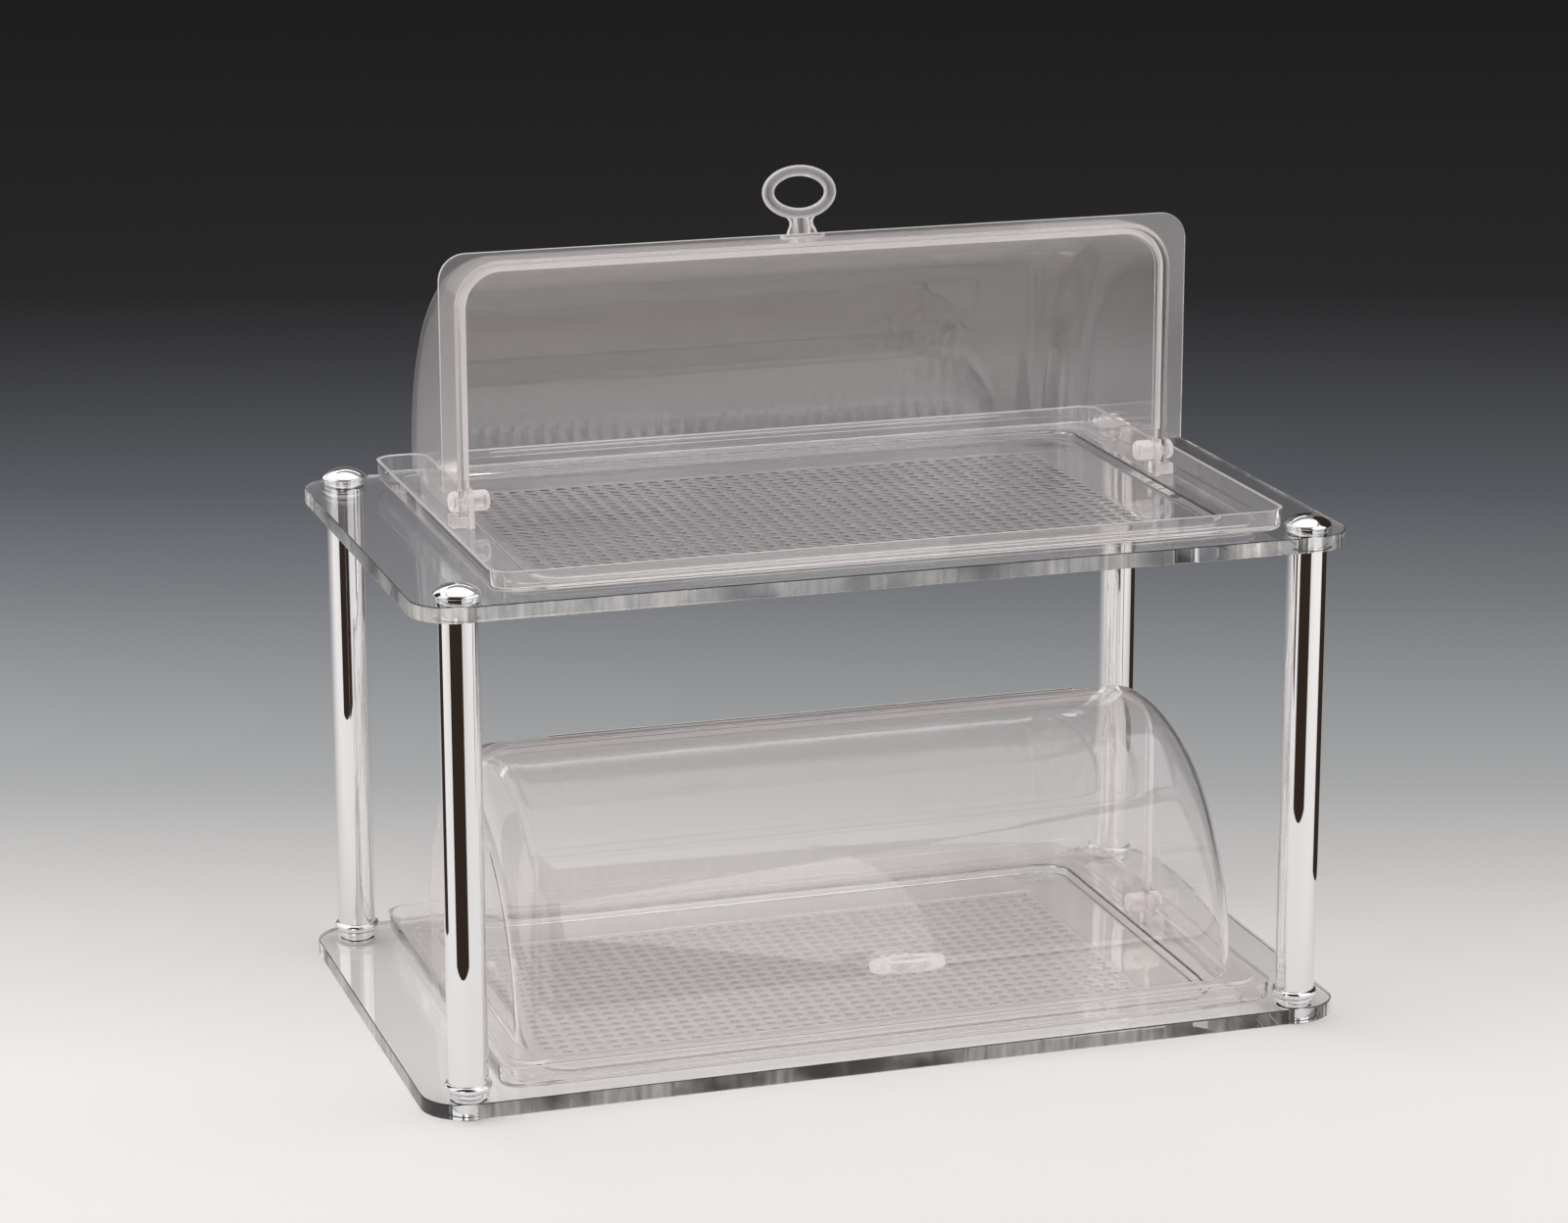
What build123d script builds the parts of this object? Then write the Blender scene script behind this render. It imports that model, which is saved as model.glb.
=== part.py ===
"""Two-tier countertop bread display: an acrylic stand with a roll-top bread bin on each plate.

Every piece is drawn about the middle of the stand, with the counter at z = 0, +Z up, the
customer's side at -Y and lengths in millimetres. A bin is drawn about its own hinge axis.
"""
from build123d import *
import math
import os

# ---- Stand -------------------------------------------------------------------------------
PLATE_WIDTH = 600.0
PLATE_DEPTH = 350.0
PLATE_THICKNESS = 10.0
PLATE_CORNER_RADIUS = 28.0
PLATE_EDGE_CHAMFER = 0.6
POST_INSET_X = 28.0          # post axis to the plate's short edge
POST_INSET_Y = 18.0          # post axis to the plate's long edge
PLATE_CLEAR_HEIGHT = 300.0   # from the base plate's top to the shelf's underside

TUBE_DIAMETER = 25.0
TUBE_WALL = 1.5
ROD_DIAMETER = 8.0
SPIGOT_DIAMETER = 20.0       # the foot's and the cap's spigots, which locate the plates
PLUG_LENGTH = 14.0
THREAD_DEPTH = 7.5           # how far the rod screws into the foot and into the cap

BASE_DISC_PROUD = 0.75       # how far each disc, ring and cap stands out beyond the tube
BASE_DISC_HEIGHT = 3.5
BASE_RING_PROUD = 2.25
BASE_RING_HEIGHT = 5.5
CAP_DISC_PROUD = 1.0
CAP_DISC_HEIGHT = 3.4
CAP_PROUD = 2.25
CAP_BRIM_HEIGHT = 1.6
CAP_CROWN_HEIGHT = 5.8
FOOT_DIAMETER = 22.5
FOOT_HEIGHT = 3.0
FOOT_EDGE_CHAMFER = 1.0

# ---- Bread bin ---------------------------------------------------------------------------
TRAY_POST_GAP = 3.25         # tray's side to the dome caps beside it
TRAY_FRONT_MARGIN = 5.5      # tray's front to the plate's front edge
TRAY_REAR_MARGIN = 21.5
TRAY_CORNER_RADIUS = 14.0
TRAY_WALL = 2.5
TRAY_HEIGHT = 17.5
RIM_DRAFT = 1.2              # how much further in the rim's foot is than its top
RIM_FOOT_ROUND = 3.0
LEDGE_HEIGHT = 6.5           # top of the channel that the covers stand in
LEDGE_WIDTH_SIDE = 28.0
LEDGE_WIDTH_FRONT = 18.0
BASIN_CORNER_RADIUS = 20.0
BASIN_SLOPE_RUN = 4.0        # how far the basin's wall leans in on its way down
BASE_INSET = 12.0            # from the rim's outside to the tray's foot
BASE_CORNER_RADIUS = 16.0

PIVOT_HEIGHT = 22.5          # hinge axis above the plate
SHELL_WALL = 2.5
SHELL_ROUND = 30.0           # moving cover's round between its end walls and its barrel
FLANGE_GAP_FRONT = 2.5       # moving cover's flange to the inside of the rim
FLANGE_GAP_SIDE = 5.5
FLANGE_WIDTH_FRONT = 6.0
FLANGE_WIDTH_SIDE = 10.0
FLANGE_THICKNESS = 3.0
FLANGE_DROP = 5.5            # flange's outer face beyond the hinge axis
FLANGE_CORNER_RADIUS = 17.0
FLANGE_END = 8.0             # where the flange's legs stop short of the hinge axis
COVER_GAP_RADIAL = 2.0       # between the moving barrel and the fixed one
COVER_GAP_SIDE = 2.5
STOP_GAP = 0.5               # left at each stop of the moving cover
FIXED_FRONT_REACH = 2.5      # fixed cover's front edge beyond the hinge axis
LIP_HEIGHT = 1.5
LIP_FOOT = 14.0              # where the lip starts above the hinge axis
RIB_HEIGHT = 1.0
RIB_PROUD = 1.0
RIB_WIDTH = 3.5
RIB_SIDE_INSET = 58.0        # from the moving cover's side to the rib's end
COVER_CORNER_ROUND = 5.0

LEG_WIDTH = 18.0
LEG_THICKNESS = 4.0
TAB_REACH = 10.0
TAB_DEPTH = 12.0
TAB_THICKNESS = 7.4          # its top stops the opened cover
PIN_DIAMETER = 6.0
PIN_RUNNING_FIT = 0.05       # radial, in the moving cover's eye
KNOB_DIAMETER = 13.0
KNOB_DOME = 2.5
PIN_HEAD_LENGTH = 5.0
NUT_LENGTH = 11.0
NUT_BORE_DEPTH = 7.0
SIDE_PLAY = 0.15             # axial, beside each moving end wall

HANDLE_ANGLE = 13.0          # degrees between the handle and the flange
HANDLE_RING_WIDTH = 48.0
HANDLE_RING_HEIGHT = 34.0
HANDLE_RING_END_RADIUS = 13.0
HANDLE_RING_BAR = 6.8
HANDLE_THICKNESS = 8.0
HANDLE_EDGE_ROUND = 2.2
HANDLE_NECK_THICKNESS = 6.0
HANDLE_NECK_WIDTH = 20.0
HANDLE_NECK_LENGTH = 12.0    # from the moving barrel to the ring's outside
HANDLE_NECK_WAIST = 3.0
HANDLE_FOOT_WIDTH = 28.0
HANDLE_FOOT_DEPTH = 12.0
HANDLE_FOOT_HEIGHT = 2.5

# ---- Worked out from the sizes above -----------------------------------------------------
BASE_TOP = FOOT_HEIGHT + PLATE_THICKNESS
SHELF_BOTTOM = BASE_TOP + PLATE_CLEAR_HEIGHT
SHELF_TOP = SHELF_BOTTOM + PLATE_THICKNESS
POST_X = PLATE_WIDTH / 2 - POST_INSET_X
POST_Y = PLATE_DEPTH / 2 - POST_INSET_Y

BASE_DISC_DIAMETER = TUBE_DIAMETER + 2 * BASE_DISC_PROUD
BASE_RING_DIAMETER = TUBE_DIAMETER + 2 * BASE_RING_PROUD
CAP_DISC_DIAMETER = TUBE_DIAMETER + 2 * CAP_DISC_PROUD
CAP_DIAMETER = TUBE_DIAMETER + 2 * CAP_PROUD

TRAY_WIDTH = 2 * (POST_X - CAP_DIAMETER / 2 - TRAY_POST_GAP)
TRAY_DEPTH = PLATE_DEPTH - TRAY_FRONT_MARGIN - TRAY_REAR_MARGIN
BIN_FORWARD = (TRAY_REAR_MARGIN - TRAY_FRONT_MARGIN) / 2   # bin's middle in front of the stand's
RIM_HALF_WIDTH = TRAY_WIDTH / 2 - TRAY_WALL
RIM_HALF_DEPTH = TRAY_DEPTH / 2 - TRAY_WALL
FLANGE_REACH = RIM_HALF_DEPTH - FLANGE_GAP_FRONT
FLANGE_HALF_WIDTH = RIM_HALF_WIDTH - FLANGE_GAP_SIDE
MOVING_RADIUS = FLANGE_REACH - FLANGE_WIDTH_FRONT
MOVING_HALF_WIDTH = FLANGE_HALF_WIDTH - FLANGE_WIDTH_SIDE
FIXED_RADIUS = MOVING_RADIUS - SHELL_WALL - COVER_GAP_RADIAL
FIXED_HALF_WIDTH = MOVING_HALF_WIDTH - SHELL_WALL - COVER_GAP_SIDE
FIXED_ROUND = SHELL_ROUND - SHELL_WALL - COVER_GAP_RADIAL
LEDGE_DROP = PIVOT_HEIGHT - LEDGE_HEIGHT
REAR_REACH = LEDGE_DROP - TAB_THICKNESS - STOP_GAP
LIP_END = REAR_REACH - RIB_WIDTH - STOP_GAP
RIB_END = MOVING_HALF_WIDTH - RIB_SIDE_INSET
RING_CENTRE_RADIUS = MOVING_RADIUS + HANDLE_NECK_LENGTH + HANDLE_RING_HEIGHT / 2
HANDLE_TIP_RADIUS = RING_CENTRE_RADIUS + HANDLE_RING_HEIGHT / 2

# The origin is under the middle of the whole outline, which the lower handle makes deeper.
HANDLE_REACH = BIN_FORWARD + HANDLE_TIP_RADIUS * math.cos(math.radians(HANDLE_ANGLE))
STAND_SETBACK = (HANDLE_REACH - PLATE_DEPTH / 2) / 2

parts = {}


def add(name, shape):
    """Keep a piece under its own name, moved from the stand's middle to the origin's frame."""
    parts[name] = Pos(0, STAND_SETBACK, 0) * shape


def cylinder_up(diameter, height, z=0.0):
    """A round bar standing on the height z."""
    return Pos(0, 0, z) * Cylinder(diameter / 2, height, align=(Align.CENTER, Align.CENTER, Align.MIN))


def rounded_plate(width, depth, radius, height, z=0.0):
    """A flat plate with rounded corners, standing on the height z."""
    return Pos(0, 0, z) * extrude(RectangleRounded(width, depth, radius), height)


# ---- Stand -------------------------------------------------------------------------------
def acrylic_plate(z):
    """A plate with one hole for a spigot at each post."""
    plate = rounded_plate(PLATE_WIDTH, PLATE_DEPTH, PLATE_CORNER_RADIUS, PLATE_THICKNESS, z)
    faces = plate.faces().sort_by(Axis.Z)
    plate = chamfer(faces[0].edges() + faces[-1].edges(), PLATE_EDGE_CHAMFER)
    for x in (-POST_X, POST_X):
        for y in (-POST_Y, POST_Y):
            plate -= Pos(x, y, 0) * cylinder_up(SPIGOT_DIAMETER, PLATE_THICKNESS, z)
    return plate


def post_tube():
    """The chromed tube between the base disc and the shelf."""
    bottom = BASE_TOP + BASE_DISC_HEIGHT
    length = SHELF_BOTTOM - bottom
    bore = cylinder_up(TUBE_DIAMETER - 2 * TUBE_WALL, length, bottom)
    return cylinder_up(TUBE_DIAMETER, length, bottom) - bore


def tube_plug():
    """A plug pressed into a tube's end, flush with it, with a hole that centres the tie rod."""
    return cylinder_up(TUBE_DIAMETER - 2 * TUBE_WALL, PLUG_LENGTH) - cylinder_up(ROD_DIAMETER, PLUG_LENGTH)


def tie_rod():
    """The rod that pulls cap and foot together through the tube."""
    bottom = BASE_TOP - THREAD_DEPTH
    return cylinder_up(ROD_DIAMETER, SHELF_BOTTOM + THREAD_DEPTH - bottom, bottom)


def base_disc():
    """The plain disc between the base plate and the tube."""
    disc = cylinder_up(BASE_DISC_DIAMETER, BASE_DISC_HEIGHT, BASE_TOP)
    return disc - cylinder_up(ROD_DIAMETER, BASE_DISC_HEIGHT, BASE_TOP)


def base_ring():
    """The round-backed ring that slips over the tube's lower end."""
    bottom = BASE_TOP + BASE_DISC_HEIGHT
    inner = TUBE_DIAMETER / 2
    outer = BASE_RING_DIAMETER / 2
    low = (inner, bottom)
    high = (inner, bottom + BASE_RING_HEIGHT)
    back = ThreePointArc(low, (outer, bottom + BASE_RING_HEIGHT / 2), high)
    return revolve(make_face(Plane.XZ * (back + Line(high, low))), Axis.Z)


def cap_disc():
    """The plain disc under the dome cap."""
    disc = cylinder_up(CAP_DISC_DIAMETER, CAP_DISC_HEIGHT, SHELF_TOP)
    return disc - cylinder_up(SPIGOT_DIAMETER, CAP_DISC_HEIGHT, SHELF_TOP)


def dome_cap():
    """The mushroom cap, whose spigot goes down through the disc and the shelf."""
    brim = SHELF_TOP + CAP_DISC_HEIGHT
    edge = brim + CAP_BRIM_HEIGHT
    top = edge + CAP_CROWN_HEIGHT
    radius = CAP_DIAMETER / 2
    crown_radius = (radius ** 2 + CAP_CROWN_HEIGHT ** 2) / (2 * CAP_CROWN_HEIGHT)
    crown = RadiusArc((0, top), (radius, edge), crown_radius)
    rest = Polyline((radius, edge), (radius, brim), (0, brim), (0, top))
    cap = revolve(make_face(Plane.XZ * (crown + rest)), Axis.Z)
    cap += cylinder_up(SPIGOT_DIAMETER, brim - SHELF_BOTTOM, SHELF_BOTTOM)
    return cap - cylinder_up(ROD_DIAMETER, THREAD_DEPTH, SHELF_BOTTOM)


def foot():
    """The foot under the base plate, with a spigot up through the plate."""
    pad = cylinder_up(FOOT_DIAMETER, FOOT_HEIGHT)
    pad = chamfer(pad.edges().group_by(Axis.Z)[0], FOOT_EDGE_CHAMFER)
    pad += cylinder_up(SPIGOT_DIAMETER, PLATE_THICKNESS, FOOT_HEIGHT)
    return pad - cylinder_up(ROD_DIAMETER, THREAD_DEPTH, BASE_TOP - THREAD_DEPTH)


add("base_plate", acrylic_plate(FOOT_HEIGHT))
add("shelf_plate", acrylic_plate(SHELF_BOTTOM))

lower_plugs = []
upper_plugs = []
for side, x in (("left", -POST_X), ("right", POST_X)):
    for end, y in (("front", -POST_Y), ("rear", POST_Y)):
        here = Pos(x, y, 0)
        add(f"{end}_{side}_foot", here * foot())
        add(f"{end}_{side}_base_disc", here * base_disc())
        add(f"{end}_{side}_base_ring", here * base_ring())
        add(f"{end}_{side}_tube", here * post_tube())
        add(f"{end}_{side}_tie_rod", here * tie_rod())
        add(f"{end}_{side}_cap_disc", here * cap_disc())
        add(f"{end}_{side}_dome_cap", here * dome_cap())
        lower_plugs.append(here * Pos(0, 0, BASE_TOP + BASE_DISC_HEIGHT) * tube_plug())
        upper_plugs.append(here * Pos(0, 0, SHELF_BOTTOM) * Rot(180, 0, 0) * tube_plug())
add("lower_tube_plugs", Compound(lower_plugs))
add("upper_tube_plugs", Compound(upper_plugs))


# ---- Bread bin ---------------------------------------------------------------------------
def tray_block(side_in, front_in, radius, low, high, lean=0.0):
    """A rounded block inset from the tray's outline, whose foot leans in further than its top."""
    width = TRAY_WIDTH - 2 * side_in
    depth = TRAY_DEPTH - 2 * front_in
    if not lean:
        return rounded_plate(width, depth, radius, high - low, low)
    top = Pos(0, 0, high) * RectangleRounded(width, depth, radius)
    foot_radius = radius - lean
    bottom = Pos(0, 0, low) * RectangleRounded(width - 2 * lean, depth - 2 * lean, foot_radius)
    return loft([bottom, top])


def tray():
    """The tray: rim, channel for the covers, shallow basin and a hollow foot under the channel."""
    channel_bottom = LEDGE_HEIGHT - TRAY_WALL
    body = tray_block(0, 0, TRAY_CORNER_RADIUS, channel_bottom, TRAY_HEIGHT, RIM_DRAFT)
    body = fillet(body.edges().group_by(Axis.Z)[0], RIM_FOOT_ROUND)
    rim_radius = TRAY_CORNER_RADIUS - TRAY_WALL
    body -= tray_block(TRAY_WALL, TRAY_WALL, rim_radius, LEDGE_HEIGHT, TRAY_HEIGHT, RIM_DRAFT)

    basin_side = TRAY_WALL + LEDGE_WIDTH_SIDE
    basin_front = TRAY_WALL + LEDGE_WIDTH_FRONT
    body += tray_block(BASE_INSET, BASE_INSET, BASE_CORNER_RADIUS, 0, channel_bottom)
    under = tray_block(
        BASE_INSET + TRAY_WALL, BASE_INSET + TRAY_WALL, BASE_CORNER_RADIUS - TRAY_WALL, 0, channel_bottom
    )
    under -= tray_block(
        basin_side - TRAY_WALL, basin_front - TRAY_WALL, BASIN_CORNER_RADIUS + TRAY_WALL,
        0, LEDGE_HEIGHT, BASIN_SLOPE_RUN,
    )
    body -= under
    return body - tray_block(
        basin_side, basin_front, BASIN_CORNER_RADIUS, TRAY_WALL, LEDGE_HEIGHT, BASIN_SLOPE_RUN
    )


def barrel(radius, half_width, corner, drop):
    """Half a drum about the hinge axis, with rounded rims, on straight walls that reach down by drop."""
    rim = half_width - corner
    outline = Polyline((rim, radius), (-rim, radius))
    outline += ThreePointArc(
        (-rim, radius),
        (-rim - corner * math.sin(math.pi / 4), radius - corner * (1 - math.cos(math.pi / 4))),
        (-half_width, radius - corner),
    )
    outline += Polyline((-half_width, radius - corner), (-half_width, 0), (half_width, 0),
                        (half_width, radius - corner))
    outline += ThreePointArc(
        (half_width, radius - corner),
        (rim + corner * math.sin(math.pi / 4), radius - corner * (1 - math.cos(math.pi / 4))),
        (rim, radius),
    )
    drum = revolve(make_face(outline), Axis.X, 180)
    return drum + rounded_plate(2 * half_width, 2 * radius, corner, drop, -drop)


def slab(y_low, y_high, z_low, z_high, x_low=None, x_high=None):
    """A box between the given planes; it spans the whole bin where no x is given."""
    x_low = -TRAY_WIDTH if x_low is None else x_low
    x_high = TRAY_WIDTH if x_high is None else x_high
    corner = Pos(x_low, y_low, z_low)
    return corner * Box(x_high - x_low, y_high - y_low, z_high - z_low, align=(Align.MIN,) * 3)


def both_sides(shape):
    """The shape and its mirror image in the middle of the bin."""
    return shape + mirror(shape, Plane.YZ)


def hinge_bar(diameter, x_low, x_high):
    """A round bar on the hinge axis between two x planes."""
    return Pos((x_low + x_high) / 2, 0, 0) * Rot(0, 90, 0) * Cylinder(diameter / 2, x_high - x_low)


def moving_cover():
    """The front cover, closed: a quarter barrel with a flange, a catch rib and two hinge eyes."""
    inner_radius = MOVING_RADIUS - SHELL_WALL
    inner_half_width = MOVING_HALF_WIDTH - SHELL_WALL
    inner_round = SHELL_ROUND - SHELL_WALL
    shell = barrel(MOVING_RADIUS, MOVING_HALF_WIDTH, SHELL_ROUND, FLANGE_DROP)
    shell -= barrel(inner_radius, inner_half_width, inner_round, FLANGE_DROP)
    shell -= slab(REAR_REACH, TRAY_DEPTH, -TRAY_DEPTH, TRAY_DEPTH)
    lowest = shell.edges().filter_by(Axis.X).group_by(Axis.Z)[0]
    shell = fillet(lowest.group_by(Axis.Y)[-1], COVER_CORNER_ROUND)

    flange = rounded_plate(
        2 * FLANGE_HALF_WIDTH, 2 * FLANGE_REACH, FLANGE_CORNER_RADIUS, FLANGE_THICKNESS, -FLANGE_DROP
    )
    flange -= rounded_plate(
        2 * inner_half_width, 2 * inner_radius, inner_round, FLANGE_THICKNESS, -FLANGE_DROP
    )
    flange -= slab(-FLANGE_END, TRAY_DEPTH, -TRAY_DEPTH, TRAY_DEPTH)

    rib = hinge_bar(2 * (MOVING_RADIUS + RIB_PROUD), -RIB_END, RIB_END)
    rib -= hinge_bar(2 * (inner_radius - RIB_HEIGHT), -RIB_END, RIB_END)
    rib &= slab(REAR_REACH - RIB_WIDTH, REAR_REACH, 0, TRAY_DEPTH)

    eye = hinge_bar(PIN_DIAMETER + 2 * PIN_RUNNING_FIT, inner_half_width, MOVING_HALF_WIDTH)
    return shell + flange + rib - both_sides(eye)


def fixed_cover():
    """The rear cover: a quarter barrel on straight walls, with a front lip, legs and stop tabs."""
    shell = barrel(FIXED_RADIUS, FIXED_HALF_WIDTH, FIXED_ROUND, LEDGE_DROP)
    hollow = barrel(
        FIXED_RADIUS - SHELL_WALL, FIXED_HALF_WIDTH - SHELL_WALL, FIXED_ROUND - SHELL_WALL, LEDGE_DROP
    )
    lip = barrel(
        FIXED_RADIUS + LIP_HEIGHT, FIXED_HALF_WIDTH + LIP_HEIGHT, FIXED_ROUND + LIP_HEIGHT, LEDGE_DROP
    )
    lip &= slab(-FIXED_FRONT_REACH, LIP_END, LIP_FOOT, TRAY_DEPTH)
    cover = shell + lip - hollow
    cover &= slab(-FIXED_FRONT_REACH, TRAY_DEPTH, -LEDGE_DROP, TRAY_DEPTH)

    leg_inside = FIXED_HALF_WIDTH - LEG_THICKNESS
    leg = hinge_bar(LEG_WIDTH, leg_inside, FIXED_HALF_WIDTH)
    leg += slab(-LEG_WIDTH / 2, LEG_WIDTH / 2, -LEDGE_DROP, 0, leg_inside, FIXED_HALF_WIDTH)
    leg += slab(
        -TAB_DEPTH / 2, TAB_DEPTH / 2, -LEDGE_DROP, TAB_THICKNESS - LEDGE_DROP,
        leg_inside, FIXED_HALF_WIDTH + TAB_REACH,
    )
    return cover + both_sides(leg) - both_sides(hinge_bar(PIN_DIAMETER, leg_inside, FIXED_HALF_WIDTH))


def knob(x_flat, length):
    """A round knob on the hinge axis whose flat face is at x_flat and whose domed end points away."""
    end = x_flat + length
    radius = KNOB_DIAMETER / 2
    dome_radius = (radius ** 2 + KNOB_DOME ** 2) / (2 * KNOB_DOME) * math.copysign(1, length)
    crown = RadiusArc((end, 0), (end - math.copysign(KNOB_DOME, length), radius), dome_radius)
    rest = Polyline((end - math.copysign(KNOB_DOME, length), radius), (x_flat, radius), (x_flat, 0), (end, 0))
    return revolve(make_face(crown + rest), Axis.X)


def hinge_pin():
    """The pin: a domed head outside the moving cover and a shank that ends inside the nut."""
    head = MOVING_HALF_WIDTH + SIDE_PLAY
    tip = FIXED_HALF_WIDTH - LEG_THICKNESS - NUT_BORE_DEPTH
    return knob(head, PIN_HEAD_LENGTH) + hinge_bar(PIN_DIAMETER, tip, head)


def hinge_washer():
    """The washer that fills the gap between the fixed leg and the moving end wall."""
    thickness = COVER_GAP_SIDE - SIDE_PLAY
    ring = hinge_bar(KNOB_DIAMETER, FIXED_HALF_WIDTH, FIXED_HALF_WIDTH + thickness)
    return ring - hinge_bar(PIN_DIAMETER, FIXED_HALF_WIDTH, FIXED_HALF_WIDTH + thickness)


def hinge_nut():
    """The domed nut inside the fixed leg."""
    flat = FIXED_HALF_WIDTH - LEG_THICKNESS
    return knob(flat, -NUT_LENGTH) - hinge_bar(PIN_DIAMETER, flat - NUT_BORE_DEPTH, flat)


def oval(width, height, end_radius):
    """A flat oval of four tangent arcs, longer along X."""
    tip = width / 2
    top = height / 2
    end_centre = tip - end_radius
    side_radius = (end_centre ** 2 + top ** 2 - end_radius ** 2) / (2 * (top - end_radius))
    share = side_radius / (side_radius - end_radius)
    x = end_centre * share
    y = (side_radius - top) * (share - 1)
    upper = ThreePointArc((-x, y), (0, top), (x, y)) + ThreePointArc((x, y), (tip, 0), (x, -y))
    lower = ThreePointArc((x, -y), (0, -top), (-x, -y)) + ThreePointArc((-x, -y), (-tip, 0), (-x, y))
    return make_face(upper + lower)


def handle():
    """The ring handle on its foot, closed: it stands off the barrel a little above the flange."""
    ring = oval(HANDLE_RING_WIDTH, HANDLE_RING_HEIGHT, HANDLE_RING_END_RADIUS)
    ring -= oval(
        HANDLE_RING_WIDTH - 2 * HANDLE_RING_BAR,
        HANDLE_RING_HEIGHT - 2 * HANDLE_RING_BAR,
        HANDLE_RING_END_RADIUS - HANDLE_RING_BAR,
    )
    ring = extrude(ring, HANDLE_THICKNESS / 2, both=True)
    ring = Pos(0, RING_CENTRE_RADIUS, 0) * fillet(ring.edges(), HANDLE_EDGE_ROUND)

    half = HANDLE_NECK_WIDTH / 2
    low = MOVING_RADIUS + HANDLE_FOOT_HEIGHT / 2
    high = MOVING_RADIUS + HANDLE_NECK_LENGTH + HANDLE_RING_BAR / 2
    middle = (low + high) / 2
    waist = half - HANDLE_NECK_WAIST
    neck = Line((-half, low), (half, low)) + ThreePointArc((half, low), (waist, middle), (half, high))
    neck += Line((half, high), (-half, high)) + ThreePointArc((-half, high), (-waist, middle), (-half, low))
    neck = extrude(make_face(neck), HANDLE_NECK_THICKNESS / 2, both=True)

    foot_top = MOVING_RADIUS + HANDLE_FOOT_HEIGHT
    pad = Pos(0, foot_top / 2, 0) * Box(HANDLE_FOOT_WIDTH, foot_top, HANDLE_FOOT_DEPTH)
    pad -= hinge_bar(2 * MOVING_RADIUS, -HANDLE_FOOT_WIDTH, HANDLE_FOOT_WIDTH)
    whole = ring + neck + pad
    return Rot(180 - HANDLE_ANGLE, 0, 0) * whole


def add_bin(tier, plate_top, swing):
    """Add one bin's pieces on a plate, with its moving cover swung open by the given angle."""
    axis = Pos(0, -BIN_FORWARD, plate_top + PIVOT_HEIGHT)
    opened = axis * Rot(-swing, 0, 0)
    add(f"{tier}_tray", axis * Pos(0, 0, -PIVOT_HEIGHT) * tray())
    add(f"{tier}_rear_cover", axis * fixed_cover())
    add(f"{tier}_front_cover", opened * moving_cover())
    add(f"{tier}_handle", opened * handle())
    for piece, shape in (("pin", hinge_pin()), ("washer", hinge_washer()), ("nut", hinge_nut())):
        add(f"{tier}_right_hinge_{piece}", axis * shape)
        add(f"{tier}_left_hinge_{piece}", axis * mirror(shape, Plane.YZ))


add_bin("lower", BASE_TOP, 0)
add_bin("upper", SHELF_TOP, 90)

os.makedirs("parts", exist_ok=True)
for name, shape in parts.items():
    export_step(shape, f"parts/{name}.step")
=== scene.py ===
"""Dresses the two-tier bread display: clear plates on chromed posts, and two roll-top bins.

Lengths are in metres. The frame's origin is on the counter, under the middle of the outline.
"""
import logging
import math
from dataclasses import dataclass, field
from enum import Enum
from typing import Callable, Mapping, Sequence, Union

import bmesh
import bpy
from mathutils import Matrix, Vector


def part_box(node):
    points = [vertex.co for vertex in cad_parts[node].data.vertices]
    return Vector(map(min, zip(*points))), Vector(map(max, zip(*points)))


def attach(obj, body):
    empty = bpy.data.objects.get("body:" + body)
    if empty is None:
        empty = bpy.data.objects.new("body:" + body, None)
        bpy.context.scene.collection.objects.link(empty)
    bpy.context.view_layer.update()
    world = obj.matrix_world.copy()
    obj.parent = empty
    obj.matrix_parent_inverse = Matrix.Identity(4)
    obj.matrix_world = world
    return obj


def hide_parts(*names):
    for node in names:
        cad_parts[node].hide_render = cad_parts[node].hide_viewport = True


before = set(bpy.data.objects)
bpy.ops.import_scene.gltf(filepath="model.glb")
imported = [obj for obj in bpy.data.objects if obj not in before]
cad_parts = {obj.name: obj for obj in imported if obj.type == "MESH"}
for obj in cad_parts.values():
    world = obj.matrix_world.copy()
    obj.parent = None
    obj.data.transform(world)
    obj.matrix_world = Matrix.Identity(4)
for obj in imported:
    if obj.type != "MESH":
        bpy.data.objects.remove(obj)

LOG = logging.getLogger("bread_display")
MM = 0.001
TIER_RISE = 310.0 * MM  # how much higher the upper bin stands
SAME = 1e-6  # two coordinates that are this close count as one
FLAT = 0.9  # a face whose normal has this much along an axis faces that way
DEPTH_AXIS = Vector((0.3027, 0.9531, 0.0))  # level, away from the viewer
ACROSS = Vector((DEPTH_AXIS.y, -DEPTH_AXIS.x, 0.0))  # level, to the viewer's right
Colour = tuple[float, float, float]
Display = tuple[int, int, int]
Pair = tuple[float, float]
Point = tuple[float, float, float]
Stops = tuple[tuple[float, Display], ...]
Face = bmesh.types.BMFace
FaceTest = Callable[[Face], bool]
Socket = bpy.types.NodeSocket


def linear(red: int, green: int, blue: int) -> Colour:
    """Turns a display colour, from 0 to 255, into the linear colour that shaders take."""
    shares = [channel / 255 for channel in (red, green, blue)]
    return tuple(s / 12.92 if s <= 0.04045 else ((s + 0.055) / 1.055) ** 2.4 for s in shares)


# ---- Shader arithmetic -------------------------------------------------------------------
def operator(operation: str, swapped: bool = False) -> Callable[..., "Value"]:
    """Makes a method of Value that adds a Math node.

    Args:
        operation: Blender's name of the operation.
        swapped: Whether the other number comes first, as in a reflected form.

    Returns:
        The method.
    """

    def method(value: "Value", other: "Number" = 0.0) -> "Value":
        """Adds the node to the value's graph and gives its result."""
        inputs = {0: other, 1: value} if swapped else {0: value, 1: other}
        node = value.graph.node("ShaderNodeMath", {"operation": operation}, inputs)
        return Value(value.graph, node.outputs[0])

    return method


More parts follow.
